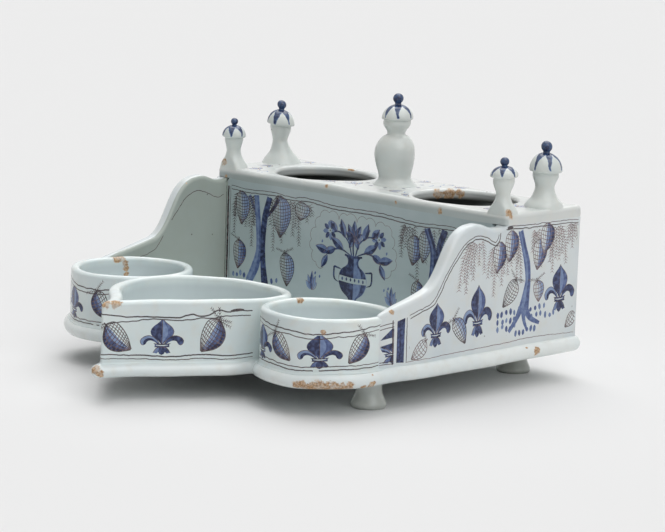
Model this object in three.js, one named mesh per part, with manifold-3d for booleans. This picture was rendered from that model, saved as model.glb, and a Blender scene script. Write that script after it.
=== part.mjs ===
import * as THREE from 'three';
import { mergeVertices } from 'three/addons/utils/BufferGeometryUtils.js';
import Module from 'manifold-3d';

const wasm = await Module();
wasm.setup();

// Desk inkstand of tin-glazed earthenware, in millimetres, +Z up, with the pans towards -Y.
// It is built as a potter builds it: slabs, bent strips and turned pieces that are luted together.
// Plan places are taken from the middle of the box's front face, before the last step centres them.

// The closed box at the back
const boxWidth = 250;
const boxDepth = 70;
const boxTopHeight = 107.8;
const boxWall = 5.5;
const topThickness = 6.5;
const topEdgeRound = 2.6;
const topCorner = 4.2;
const openingFromMiddle = 60.5;
const openingHalfWidth = 34.5;
const openingMargin = 5.5;

// The base slab, whose half-round edge stands out past every wall
const baseUnderside = 17.2;
const baseThickness = 9.4;
const baseReach = 4.6;
const baseCorner = 3;
const beakRound = 1.6;
const baseSideBend = 44;
const panMeetTurn = Math.PI / 18;

// The feet
const footRadius = 10.6;
const footLip = 2.2;
const footWaist = 7.4;
const footWaistHeight = 11;
const footTop = 8.8;
const frontFootBesidePan = 19;
const frontFootBehindPan = 16;
const rearFootFromSide = 37;
const rearFootFromBack = 15;

// The side walls: a box end and a scrolled arm in one slab
const sideWall = 8.6;
const armEdgeRound = 3;
const armCrestBelowTop = 3.4;
const armDipBelowTop = 7.6;
const armEndBehindPan = 11;
const leftArm = {
  side: -1,
  dipAhead: 7,
  crestAhead: 22.5,
  kneeAhead: 60.5,
  kneeAboveRim: 9.8,
  endAboveRim: 1.4,
};
const rightArm = {
  side: 1,
  dipAhead: 9,
  crestAhead: 27,
  kneeAhead: 66,
  kneeAboveRim: 11.4,
  endAboveRim: 2.8,
};
const armKneeLeadShare = { along: 0.41, up: 0.24 };
const armCrestLeadShare = 0.64;
const armDipLeadShare = { crest: 0.45, dip: 0.3 };
const armRunShare = { end: 0.35, knee: 0.28 };

// The round pans and the pointed pan between them
const panWall = 5;
const panRadius = 37.4;
const panInset = 2;
const panAhead = 109;
const panRimHeight = 57.8;
const pointedPanAhead = 87;
const pointedPanLength = 122.5;
const pointedPanWidestAhead = 124;
const pointedPanRimHeight = 58.9;
const pointedPanLap = 1.5;
const beakDepth = 13;
const rimRound = 1.8;
const pointedPanSkewShare = 0.15;
const beakLeadShare = { side: 0.16, along: 0.275 };
const flankLeadShare = 0.3;
const backLeadShare = { along: 0.6, side: 0.58 };

// The finials, each turned by hand to its own size, with heights from the box top
const centreFinial = {
  behindFront: 35.6,
  footRadius: 15,
  waistRadius: 10.2,
  waistHeight: 7,
  ballRadius: 12.6,
  ballHeight: 20.2,
  neckRadius: 5.7,
  neckHeight: 32.6,
  bulbRadius: 8.4,
  bulbHeight: 38.6,
  capRadius: 10,
  capHeight: 41.4,
  domeHeight: 10,
  knobRadius: 3.2,
  knobHeight: 55.4,
};
const cornerFinials = {
  front_left: {
    side: -1,
    fromSide: 8.6,
    behindFront: 5.6,
    footRadius: 9.8,
    neckRadius: 4.9,
    neckHeight: 11.4,
    bulbRadius: 6.3,
    bulbHeight: 16.6,
    capRadius: 7.8,
    capHeight: 18,
    domeHeight: 9,
    knobRadius: 2.4,
    knobHeight: 29.8,
  },
  front_right: {
    side: 1,
    fromSide: 8.6,
    behindFront: 5.6,
    footRadius: 9.2,
    neckRadius: 4.6,
    neckHeight: 12.4,
    bulbRadius: 6.4,
    bulbHeight: 17.6,
    capRadius: 7.9,
    capHeight: 19.2,
    domeHeight: 8.8,
    knobRadius: 2.6,
    knobHeight: 30.6,
  },
  rear_left: {
    side: -1,
    fromSide: 11.4,
    behindFront: 47,
    footRadius: 13.8,
    neckRadius: 5.3,
    neckHeight: 15.2,
    bulbRadius: 7.3,
    bulbHeight: 22,
    capRadius: 9,
    capHeight: 23.6,
    domeHeight: 11,
    knobRadius: 3.1,
    knobHeight: 38.4,
  },
  rear_right: {
    side: 1,
    fromSide: 11.4,
    behindFront: 47,
    footRadius: 12.6,
    neckRadius: 5.8,
    neckHeight: 13,
    bulbRadius: 7.9,
    bulbHeight: 19.4,
    capRadius: 9.9,
    capHeight: 21.2,
    domeHeight: 12.2,
    knobRadius: 3.5,
    knobHeight: 37.4,
  },
};
const flareShare = { height: 0.42, radius: 0.3 };
const knobNeckShare = 0.62;

// Fits and how finely curves are cut
const joint = 0.3;
const overrun = 20;
const weld = 0.0001;
const sliver = 0.05;
const panSides = 44;
const turnedSides = 18;
const curveSteps = 10;
const stretchSteps = 3;
const domeSteps = 5;
const knobSteps = 6;
const edgeSteps = 3;

// Heights and places that follow from them
const floorTop = baseUnderside + baseThickness;
const wallFoot = floorTop + joint;
const boxWallTop = boxTopHeight - topThickness - joint;
const finialFoot = boxTopHeight + joint;
const sideFace = boxWidth / 2;
const panBeside = sideFace - panInset - panRadius;
const pointedPanHalf = panBeside - panRadius + pointedPanLap;
const pointedPanTip = pointedPanAhead + pointedPanLength;

const glaze = { color: 0xd3dde1, roughness: 0.18, metalness: 0 };
const glazeCool = { color: 0xc6d2d8, roughness: 0.18, metalness: 0 };
const glazeBlue = { color: 0x8fa2bd, roughness: 0.2, metalness: 0 };

// Joins corners that lie within the given distance and drops the triangles that this closes up
function welded(geometry, distance) {
  const bare = geometry.clone();
  bare.deleteAttribute('normal');
  bare.deleteAttribute('uv');
  const merged = mergeVertices(bare, distance);
  const index = merged.index.array;
  const triangles = [];
  for (let i = 0; i < index.length; i += 3) {
    const [a, b, c] = index.slice(i, i + 3);
    if (a !== b && b !== c && c !== a) triangles.push(a, b, c);
  }
  merged.setIndex(new THREE.BufferAttribute(Uint32Array.from(triangles), 1));
  return merged;
}

function toSolid(geometry) {
  const clean = welded(geometry, weld);
  const mesh = new wasm.Mesh({
    numProp: 3,
    vertProperties: clean.attributes.position.array,
    triVerts: clean.index.array,
  });
  return new wasm.Manifold(mesh);
}

function toGeometry(solid) {
  const { vertProperties, triVerts } = solid.getMesh();
  const cut = new THREE.BufferGeometry();
  cut.setAttribute('position', new THREE.BufferAttribute(vertProperties, 3));
  cut.setIndex(new THREE.BufferAttribute(triVerts, 1));
  const geometry = welded(cut, sliver);
  geometry.computeVertexNormals();
  return geometry;
}

function block(left, right, front, back, bottom, top) {
  const geometry = new THREE.BoxGeometry(right - left, back - front, top - bottom);
  geometry.translate((left + right) / 2, (front + back) / 2, (bottom + top) / 2);
  return geometry;
}

// A solid turned round an upright line, from a closed profile of radius and height
function turned(profile, sides, beside, behind, foot) {
  const geometry = new THREE.LatheGeometry(profile, sides);
  geometry.rotateX(Math.PI / 2);
  geometry.translate(beside, behind, foot);
  return geometry;
}

function disc(radius, bottom, top, beside, behind) {
  const profile = [[0, bottom], [radius, bottom], [radius, top], [0, top]];
  return turned(profile.map(([r, z]) => new THREE.Vector2(r, z)), panSides, beside, behind, 0);
}

// A slab over a plan shape: its upper edges, round any hole too, are rounded and it is cut flat below
function roundedSlab(shape, bottom, top, round) {
  const geometry = new THREE.ExtrudeGeometry(shape, {
    depth: top - bottom - round,
    bevelThickness: round,
    bevelSize: round,
    bevelOffset: -round,
    bevelSegments: edgeSteps,
    curveSegments: curveSteps,
  });
  geometry.translate(0, 0, bottom);
  const room = pointedPanTip + boxWidth;
  return toSolid(geometry).subtract(toSolid(block(-room, room, -room, room, bottom - overrun, bottom)));
}

// The base's plate over a plan shape, with a half-round edge that reaches out past the shape
function edgedPlate(shape) {
  const geometry = new THREE.ExtrudeGeometry(shape, {
    depth: 0,
    bevelThickness: baseThickness / 2,
    bevelSize: baseReach,
    bevelSegments: edgeSteps,
    curveSegments: curveSteps,
  });
  geometry.translate(0, 0, baseUnderside + baseThickness / 2);
  return toSolid(geometry);
}

function oval(beside, behind, halfWidth, halfDepth) {
  const shape = new THREE.Shape();
  for (let i = 0; i < panSides; i++) {
    const turn = (i / panSides) * 2 * Math.PI;
    const x = beside + halfWidth * Math.cos(turn);
    const y = behind + halfDepth * Math.sin(turn);
    if (i === 0) shape.moveTo(x, y);
    else shape.lineTo(x, y);
  }
  shape.closePath();
  return shape;
}

function roundedRectangle(left, right, front, back, corner) {
  const shape = new THREE.Shape();
  const quarter = Math.PI / 2;
  shape.absarc(right - corner, front + corner, corner, -quarter, 0);
  shape.absarc(right - corner, back - corner, corner, 0, quarter);
  shape.absarc(left + corner, back - corner, corner, quarter, 2 * quarter);
  shape.absarc(left + corner, front + corner, corner, 2 * quarter, 3 * quarter);
  return shape;
}

// The pointed pan's plan, like an onion: a beak at the front, ogee flanks and a round back.
// It was bent by hand, so its right flank sits a little further back than its left one.
function pointedPlan(half, tip, back, blunt) {
  const widest = -pointedPanWidestAhead;
  const run = widest - tip;
  const backLead = widest + (back - widest) * backLeadShare.along;
  const flankLead = widest - run * flankLeadShare;
  const beakLead = { x: blunt + half * beakLeadShare.side, y: tip + run * beakLeadShare.along };
  const bent = (x, y) => [x, y + x * pointedPanSkewShare];
  const shape = new THREE.Shape();
  if (blunt > 0) shape.absarc(0, tip, blunt, Math.PI, 2 * Math.PI);
  else shape.moveTo(0, tip);
  shape.bezierCurveTo(...bent(beakLead.x, beakLead.y), ...bent(half, flankLead), ...bent(half, widest));
  shape.bezierCurveTo(...bent(half, backLead), ...bent(half * backLeadShare.side, back), 0, back);
  shape.bezierCurveTo(
    ...bent(-half * backLeadShare.side, back), ...bent(-half, backLead), ...bent(-half, widest),
  );
  shape.bezierCurveTo(...bent(-half, flankLead), ...bent(-beakLead.x, beakLead.y), -blunt, tip);
  return shape;
}

// The base's plan behind the pans, whose sides bend in a little to run into the pans' edges
function rearPlan() {
  const corner = baseCorner;
  const quarter = Math.PI / 2;
  const meet = {
    x: panBeside + panRadius * Math.cos(panMeetTurn),
    y: panRadius * Math.sin(panMeetTurn) - panAhead,
  };
  const bendEnd = meet.y + baseSideBend;
  const bendMiddle = meet.y + baseSideBend / 2;
  const shape = new THREE.Shape();
  shape.moveTo(panBeside, -panAhead);
  shape.lineTo(meet.x, meet.y);
  shape.bezierCurveTo(meet.x, bendMiddle, sideFace, bendMiddle, sideFace, bendEnd);
  shape.absarc(sideFace - corner, boxDepth - corner, corner, 0, quarter);
  shape.absarc(corner - sideFace, boxDepth - corner, corner, quarter, 2 * quarter);
  shape.lineTo(-sideFace, bendEnd);
  shape.bezierCurveTo(-sideFace, bendMiddle, -meet.x, bendMiddle, -meet.x, meet.y);
  shape.lineTo(-panBeside, -panAhead);
  return shape;
}

function baseSlab() {
  const rear = rearPlan();
  const beak = pointedPlan(pointedPanHalf, -pointedPanTip, -pointedPanAhead, beakRound);
  return edgedPlate(rear)
    .add(edgedPlate(beak))
    .add(edgedPlate(oval(-panBeside, -panAhead, panRadius, panRadius)))
    .add(edgedPlate(oval(panBeside, -panAhead, panRadius, panRadius)));
}

function roundPan(side) {
  const half = panWall / 2;
  const shoulder = panRimHeight - half;
  const profile = [
    new THREE.Vector2(panRadius - panWall, wallFoot),
    new THREE.Vector2(panRadius, wallFoot),
  ];
  for (let i = 0; i <= domeSteps; i++) {
    const turn = (i / domeSteps) * Math.PI;
    const radius = panRadius - half + half * Math.cos(turn);
    profile.push(new THREE.Vector2(radius, shoulder + half * Math.sin(turn)));
  }
  profile.push(profile[0].clone());
  return turned(profile, panSides, side * panBeside, -panAhead, 0);
}

// What a round pan takes up, with the joint round it
function panRoom(side) {
  return toSolid(disc(panRadius + joint, floorTop, boxTopHeight + overrun, side * panBeside, -panAhead));
}

function pointedPan() {
  const plan = pointedPlan(pointedPanHalf, -pointedPanTip, -pointedPanAhead, 0);
  const inside = pointedPlan(
    pointedPanHalf - panWall, beakDepth - pointedPanTip, -pointedPanAhead - panWall, 0,
  );
  plan.holes.push(inside);
  const wall = roundedSlab(plan, wallFoot, pointedPanRimHeight, rimRound);
  return wall.subtract(panRoom(1)).subtract(panRoom(-1));
}

// The arm's side view, with its back end set into the box end
function armSideView(arm) {
  const end = { y: armEndBehindPan - panAhead, z: panRimHeight + arm.endAboveRim };
  const knee = { y: -arm.kneeAhead, z: panRimHeight + arm.kneeAboveRim };
  const crest = { y: -arm.crestAhead, z: boxTopHeight - armCrestBelowTop };
  const dip = { y: -arm.dipAhead, z: boxTopHeight - armDipBelowTop };
  const rise = { y: crest.y - knee.y, z: crest.z - knee.z };
  const run = knee.y - end.y;
  const bottom = floorTop - overrun;
  const shape = new THREE.Shape();
  shape.moveTo(end.y, bottom);
  shape.lineTo(boxWall, bottom);
  shape.lineTo(boxWall, dip.z);
  shape.lineTo(dip.y, dip.z);
  shape.bezierCurveTo(
    dip.y - (dip.y - crest.y) * armDipLeadShare.dip, dip.z,
    crest.y + (dip.y - crest.y) * armDipLeadShare.crest, crest.z, crest.y, crest.z,
  );
  shape.bezierCurveTo(
    crest.y - rise.y * armCrestLeadShare, crest.z,
    knee.y + rise.y * armKneeLeadShare.along, knee.z + rise.z * armKneeLeadShare.up,
    knee.y, knee.z,
  );
  shape.bezierCurveTo(
    knee.y - run * armRunShare.knee, knee.z - (knee.z - end.z) * armRunShare.end,
    end.y + run * armRunShare.end, end.z + (knee.z - end.z) * armRunShare.knee,
    end.y, end.z,
  );
  return shape;
}

function sideWallSolid(arm) {
  const inner = sideFace - sideWall;
  const near = Math.min(arm.side * inner, arm.side * sideFace);
  const far = Math.max(arm.side * inner, arm.side * sideFace);
  const scroll = new THREE.ExtrudeGeometry(armSideView(arm), {
    depth: sideWall - 2 * armEdgeRound,
    bevelThickness: armEdgeRound,
    bevelSize: armEdgeRound,
    bevelOffset: -armEdgeRound,
    bevelSegments: edgeSteps,
    curveSegments: curveSteps,
  });
  const sideways = new THREE.Matrix4().makeBasis(
    new THREE.Vector3(0, 1, 0), new THREE.Vector3(0, 0, 1), new THREE.Vector3(1, 0, 0),
  );
  scroll.applyMatrix4(sideways);
  scroll.translate(near + armEdgeRound, 0, 0);
  const below = block(-boxWidth, boxWidth, -boxWidth, boxWidth, floorTop - 2 * overrun, wallFoot);
  return toSolid(scroll)
    .add(toSolid(block(near, far, 0, boxDepth, floorTop, boxWallTop)))
    .subtract(toSolid(below))
    .subtract(panRoom(arm.side));
}

function crossWall(front, back) {
  const reach = sideFace - sideWall - joint;
  return block(-reach, reach, front, back, wallFoot, boxWallTop);
}

function boxTop() {
  const plan = roundedRectangle(-sideFace, sideFace, 0, boxDepth, topCorner);
  const halfDepth = boxDepth / 2 - openingMargin;
  for (const side of [-1, 1]) {
    plan.holes.push(oval(side * openingFromMiddle, boxDepth / 2, openingHalfWidth, halfDepth));
  }
  return roundedSlab(plan, boxTopHeight - topThickness, boxTopHeight, topEdgeRound);
}

// A finial's profile: flared foot, neck, bulb under an overhanging domed cap, and a knob
function finialProfile(size) {
  const ball = size.ballRadius ? [
    [size.waistRadius, size.waistHeight],
    [size.ballRadius, size.ballHeight],
  ] : [[
    size.neckRadius + (size.footRadius - size.neckRadius) * flareShare.radius,
    size.neckHeight * flareShare.height,
  ]];
  const places = [
    [size.footRadius, 0],
    ...ball,
    [size.neckRadius, size.neckHeight],
    [size.bulbRadius, size.bulbHeight],
    [size.bulbRadius, size.capHeight],
  ];
  const stem = new THREE.SplineCurve(places.map(([r, z]) => new THREE.Vector2(r, z)));
  const profile = [new THREE.Vector2(0, 0), ...stem.getPoints((places.length - 1) * stretchSteps)];
  const knobNeck = size.knobRadius * knobNeckShare;
  const domeEnd = Math.acos(knobNeck / size.capRadius);
  for (let i = 0; i <= domeSteps; i++) {
    const turn = (i / domeSteps) * domeEnd;
    const radius = size.capRadius * Math.cos(turn);
    profile.push(new THREE.Vector2(radius, size.capHeight + size.domeHeight * Math.sin(turn)));
  }
  const knobStart = Math.acos(knobNeckShare);
  for (let i = 0; i <= knobSteps; i++) {
    const turn = -knobStart + (i / knobSteps) * (knobStart + Math.PI / 2);
    const radius = size.knobRadius * Math.max(0, Math.cos(turn));
    profile.push(new THREE.Vector2(radius, size.knobHeight + size.knobRadius * Math.sin(turn)));
  }
  profile[profile.length - 1].x = 0;
  return profile;
}

// A finial whose spread foot is trimmed level with the box's faces
function finial(size, beside) {
  const piece = turned(finialProfile(size), turnedSides, beside, size.behindFront, finialFoot);
  const room = block(-sideFace, sideFace, 0, boxDepth, floorTop, boxTopHeight + boxWidth);
  return toSolid(piece).intersect(toSolid(room));
}

function foot(beside, behind) {
  const top = baseUnderside - joint;
  const side = new THREE.SplineCurve([
    new THREE.Vector2(footRadius, footLip),
    new THREE.Vector2(footWaist, footWaistHeight),
    new THREE.Vector2(footTop, top),
  ]);
  const profile = [
    new THREE.Vector2(0, 0),
    new THREE.Vector2(footRadius - footLip / 2, 0),
    new THREE.Vector2(footRadius, footLip / 2),
    ...side.getPoints(domeSteps),
    new THREE.Vector2(0, top),
  ];
  return turned(profile, turnedSides, beside, behind, 0);
}

const inkstand = new THREE.Group();
const assembly = new THREE.Group();
inkstand.add(assembly);

function addPiece(name, piece, look) {
  const geometry = piece.isBufferGeometry ? piece : toGeometry(piece);
  const mesh = new THREE.Mesh(geometry, new THREE.MeshStandardMaterial(look));
  mesh.name = name;
  assembly.add(mesh);
  return mesh;
}

const slab = addPiece('base_slab', baseSlab(), glazeCool);
addPiece('left_side_wall', sideWallSolid(leftArm), glaze);
addPiece('right_side_wall', sideWallSolid(rightArm), glaze);
addPiece('box_front_wall', crossWall(0, boxWall), glaze);
addPiece('box_back_wall', crossWall(boxDepth - boxWall, boxDepth), glaze);
addPiece('box_top', boxTop(), glazeCool);
addPiece('left_round_pan', roundPan(-1), glaze);
addPiece('right_round_pan', roundPan(1), glaze);
addPiece('pointed_pan', pointedPan(), glaze);
addPiece('centre_finial', finial(centreFinial, 0), glazeBlue);
for (const [place, size] of Object.entries(cornerFinials)) {
  const beside = size.side * (sideFace - size.fromSide);
  addPiece(`${place}_finial`, finial(size, beside), glazeBlue);
}
for (const [name, side] of [['left', -1], ['right', 1]]) {
  const frontFoot = foot(side * (panBeside + frontFootBesidePan), frontFootBehindPan - panAhead);
  const rearFoot = foot(side * (sideFace - rearFootFromSide), boxDepth - rearFootFromBack);
  addPiece(`front_${name}_foot`, frontFoot, glazeCool);
  addPiece(`rear_${name}_foot`, rearFoot, glazeCool);
}

// The origin is on the ground under the middle of the base slab
slab.geometry.computeBoundingBox();
const { min, max } = slab.geometry.boundingBox;
assembly.position.y = -(min.y + max.y) / 2;

export default inkstand;
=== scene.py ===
import math
import random

import bmesh
import bpy
import numpy as np
from mathutils import Matrix, Vector
from mathutils.geometry import delaunay_2d_cdt


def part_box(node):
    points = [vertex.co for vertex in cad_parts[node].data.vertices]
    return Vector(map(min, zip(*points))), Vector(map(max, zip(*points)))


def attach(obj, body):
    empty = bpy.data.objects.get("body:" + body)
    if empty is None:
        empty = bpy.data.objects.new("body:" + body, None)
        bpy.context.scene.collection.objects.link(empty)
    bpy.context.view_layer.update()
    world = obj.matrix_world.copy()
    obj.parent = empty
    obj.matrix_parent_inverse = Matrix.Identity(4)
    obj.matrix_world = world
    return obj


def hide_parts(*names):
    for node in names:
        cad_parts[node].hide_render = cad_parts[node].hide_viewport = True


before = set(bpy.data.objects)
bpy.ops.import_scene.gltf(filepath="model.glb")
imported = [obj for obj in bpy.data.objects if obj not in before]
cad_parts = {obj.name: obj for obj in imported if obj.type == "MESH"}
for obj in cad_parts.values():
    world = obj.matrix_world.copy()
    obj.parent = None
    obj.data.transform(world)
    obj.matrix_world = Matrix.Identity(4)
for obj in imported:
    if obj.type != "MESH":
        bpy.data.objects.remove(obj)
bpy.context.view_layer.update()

mm = 0.001
scene = bpy.context.scene
print("frame loaded")


# Reading the frame, in millimetres

def cadBox(node):
    low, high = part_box(node)
    return np.array(low) / mm, np.array(high) / mm


def area(loop):
    x, y = loop[:, 0], loop[:, 1]
    return 0.5 * np.sum(x * np.roll(y, -1) - np.roll(x, -1) * y)


def sectionLoops(node, axis, level):
    # the closed outlines where a plane cuts a node, the largest first, all counterclockwise
    cut = bmesh.new()
    cut.from_mesh(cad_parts[node].data)
    bmesh.ops.remove_doubles(cut, verts=cut.verts, dist=0.01 * mm)
    normal = Vector([float(i == axis) for i in range(3)])
    made = bmesh.ops.bisect_plane(
        cut, geom=cut.verts[:] + cut.edges[:] + cut.faces[:],
        plane_co=normal * level * mm, plane_no=normal,
    )
    links = {}
    for edge in made["geom_cut"]:
        if isinstance(edge, bmesh.types.BMEdge):
            a, b = edge.verts
            links.setdefault(a, []).append(b)
            links.setdefault(b, []).append(a)
    keep = [i for i in range(3) if i != axis]
    loops, seen = [], set()
    for start in links:
        loop, here = [], start
        while here is not None and here not in seen:
            seen.add(here)
            loop.append([here.co[i] / mm for i in keep])
            here = next((v for v in links[here] if v not in seen), None)
        if len(loop) > 2:
            loop = np.array(loop)
            loops.append(loop if area(loop) > 0 else loop[::-1])
    cut.free()
    return sorted(loops, key=lambda loop: -area(loop))


floorTop = cadBox("base_slab")[1][2]
boxFront = cadBox("box_front_wall")[0][1]
boxBack = cadBox("box_back_wall")[1][1]
wallTop = cadBox("box_front_wall")[1][2]
boxWall = cadBox("box_front_wall")[1][1] - boxFront
boxTop = cadBox("box_top")[1][2]
sideFace = cadBox("box_top")[1][0]
sideWall = np.ptp(cadBox("right_side_wall"), axis=0)[0]
boxDepth = boxBack - boxFront


# Curves in a plane

def smoothLine(points, spacing, closed=False, corner=32):
    # an even line through hand-set points, which keeps turns sharper than the corner angle
    p = np.array(points, float)
    if closed:
        step = np.linalg.norm(p - np.roll(p, 1, axis=0), axis=1)
        p = p[step > 0.03]
    n = len(p)
    nxt = np.roll(p, -1, axis=0) - p
    prv = p - np.roll(p, 1, axis=0)
    if not closed:
        nxt[-1], prv[0] = prv[-1], nxt[0]
    long = np.maximum(np.linalg.norm(nxt, axis=1), 1e-9)
    turn = np.arctan2(prv[:, 0] * nxt[:, 1] - prv[:, 1] * nxt[:, 0], (prv * nxt).sum(1))
    sharp = np.abs(np.degrees(turn)) > corner
    way = nxt + prv
    way /= np.maximum(np.linalg.norm(way, axis=1), 1e-9)[:, None]
    made = []
    count = n if closed else n - 1
    for i in range(count):
        j = (i + 1) % n
        start = nxt[i] / long[i] if sharp[i] else way[i]
        end = nxt[i] / long[i] if sharp[j] else way[j]
        steps = max(2, int(math.ceil(long[i] / spacing * 2)))
        t = np.linspace(0, 1, steps, endpoint=False)[:, None]
        made.append(
            (2 * t**3 - 3 * t**2 + 1) * p[i] + (t**3 - 2 * t**2 + t) * start * long[i]
            + (3 * t**2 - 2 * t**3) * p[j] + (t**3 - t**2) * end * long[i]
        )
    made = np.vstack(made + ([] if closed else [p[-1:]]))
    return evenly(made, spacing, closed)


def evenly(points, spacing, closed=False, count=None):
    p = np.vstack([points, points[:1]]) if closed else points
    run = np.r_[0, np.cumsum(np.linalg.norm(np.diff(p, axis=0), axis=1))]
    count = count or max(2, int(round(run[-1] / spacing)))
    at = np.linspace(0, run[-1], count + 1)
    if closed:
        at = at[:-1]
    return np.column_stack([np.interp(at, run, p[:, i]) for i in range(p.shape[1])])


def softened(loop, rounds):
    for _ in range(rounds):
        loop = loop * 0.5 + (np.roll(loop, 1, axis=0) + np.roll(loop, -1, axis=0)) * 0.25
    return loop


def intoClay(loop):
    # mitred steps from each point of a loop to its left, which is into the clay
    nxt = np.roll(loop, -1, axis=0) - loop
    nxt /= np.maximum(np.linalg.norm(nxt, axis=1), 1e-9)[:, None]
    left = np.column_stack([-nxt[:, 1], nxt[:, 0]])
    before = np.roll(left, 1, axis=0)
    return (left + before) / np.maximum(1 + (left * before).sum(1), 0.4)[:, None]


def inside(points, loop):
    x, y = points[:, 0], points[:, 1]
    hit = np.zeros(len(points), bool)
    for (ax, ay), (bx, by) in zip(loop, np.roll(loop, -1, axis=0)):
        if ay != by:
            crossed = (ay > y) != (by > y)
            hit ^= crossed & (x < (bx - ax) * (y - ay) / (by - ay) + ax)
    return hit


# The painter's brush: each stroke is a tapered band, laid into the glaze when a face is meshed

blue, brown, bare = 0, 1, 2
brush = {"corner": 75, "taper": 0.3, "finest": 0.08, "shake": 0.6, "tickEnd": 0.3, "dabSteps": 5}


def flipped(points):
    return [(-x, y) for x, y in points]


class Painting:
    def __init__(self, seed):
        self.bands = []
        self.hand = random.Random(seed)
        self.at(0, 0)

    def at(self, x, y, turn=0, wide=1, high=1):
        c, s = math.cos(math.radians(turn)), math.sin(math.radians(turn))
        self.origin, self.axes = np.array([x, y]), np.array([[c * wide, s * wide], [-s * high, c * high]])

    def place(self, points):
        return np.array(points, float) @ self.axes + self.origin

    def stroke(self, points, width, ink=blue, tone=1.0, ends=(0.5, 0.2), wobble=0.0, shift=0.0, spacing=1.1):
        placed = self.place(points)
        line = smoothLine(placed, spacing, corner=brush["corner"])
        if wobble:
            shake = np.array([self.hand.gauss(0, wobble) for _ in range(2 * len(line))]).reshape(-1, 2)
            shake = shake + np.roll(shake, 1, axis=0) + np.roll(shake, 2, axis=0)
            line[1:-1] += shake[1:-1] * brush["shake"]
        way = np.gradient(line, axis=0)
        way /= np.maximum(np.linalg.norm(way, axis=1), 1e-9)[:, None]
        side = np.column_stack([-way[:, 1], way[:, 0]])
        line = line + side * shift
        t = np.linspace(0, 1, len(line))
        if isinstance(width, list):
            run = np.r_[0, np.cumsum(np.linalg.norm(np.diff(placed, axis=0), axis=1))]
            half = np.interp(t, run / run[-1], width) / 2
        else:
            rise = ends[0] + (1 - ends[0]) * np.clip(t / brush["taper"], 0, 1)
            fall = ends[1] + (1 - ends[1]) * np.clip((1 - t) / brush["taper"], 0, 1)
            half = np.maximum(np.minimum(rise, fall) * width, brush["finest"]) / 2
        self.band(line + side * half[:, None], line - side * half[:, None], ink, tone)

    def wash(self, left, right, ink=blue, tone=1.0, spacing=1.4):
        a = smoothLine(self.place(left), spacing, corner=brush["corner"])
        b = smoothLine(self.place(right), spacing, corner=brush["corner"])
        count = max(len(a), len(b)) - 1
        self.band(evenly(a, 1, count=count), evenly(b, 1, count=count), ink, tone)

    def band(self, left, right, ink, tone):
        tones = tone if isinstance(tone, list) else [tone, tone]
        t = np.linspace(0, 1, len(left))
        self.bands.append((left, right, ink, np.interp(t, np.linspace(0, 1, len(tones)), tones)))

    def tick(self, start, end, width, ink, tone):
        # a quick straight mark that runs out to a point
        way = end - start
        side = np.array([-way[1], way[0]]) / max(np.hypot(*way), 1e-9) * width / 2
        point = side * brush["tickEnd"]
        self.band(np.array([start + side, end + point]), np.array([start - side, end - point]), ink, tone)

    def dab(self, x, y, length, width, turn=90, ink=blue, tone=0.6):
        middle = self.place([(x, y)])[0]
        c, s = math.cos(math.radians(turn)), math.sin(math.radians(turn))
        t = np.linspace(-1, 1, brush["dabSteps"])
        line = middle + np.outer(t * length / 2, (c, s))
        side = np.outer(np.sqrt(np.maximum(1.02 - t**2, 0)) * width / 2, (-s, c))
        self.band(line + side, line - side, ink, tone)


# Motifs, most of them drawn one unit wide and high and then placed

lily = {
    "fine": 0.36, "dark": 1.0, "mid": 0.78, "light": 0.56, "edge": 0.85, "tieTone": 0.95,
    "rise": [0.30, 0.40, 0.52, 0.64, 0.75, 0.85, 0.93, 1.0],
    "outer": [(0.05, 0.31), (0.13, 0.45), (0.26, 0.55), (0.40, 0.53), (0.50, 0.42), (0.475, 0.31),
              (0.43, 0.285)],
    "inner": [(0.05, 0.27), (0.16, 0.37), (0.26, 0.42), (0.33, 0.405), (0.365, 0.36), (0.37, 0.31),
              (0.41, 0.285)],
    "sideLobe": ([(0.04, 0.26), (0.13, 0.19), (0.2, 0.07)], [(0.01, 0.2), (0.05, 0.12), (0.12, 0.04)]),
    "midLobe": ([(0.03, 0.25), (0.08, 0.14), (0.07, 0.05), (0, 0)],
                [(0, 0.25), (0, 0.14), (0, 0.05), (0, 0)]),
    "lobeLine": [(0.04, 0.25), (0.14, 0.18), (0.2, 0.06)],
    "tie": ([(-0.17, 0.325), (0, 0.31), (0.18, 0.33)], [(-0.16, 0.235), (0, 0.225), (0.17, 0.24)]),
    "tieGap": [(-0.14, 0.283), (0, 0.272), (0.15, 0.287)],
    "tieLines": ([(-0.19, 0.325), (0, 0.31), (0.2, 0.33)], [(-0.17, 0.235), (0, 0.222), (0.18, 0.24)]),
}


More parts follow.
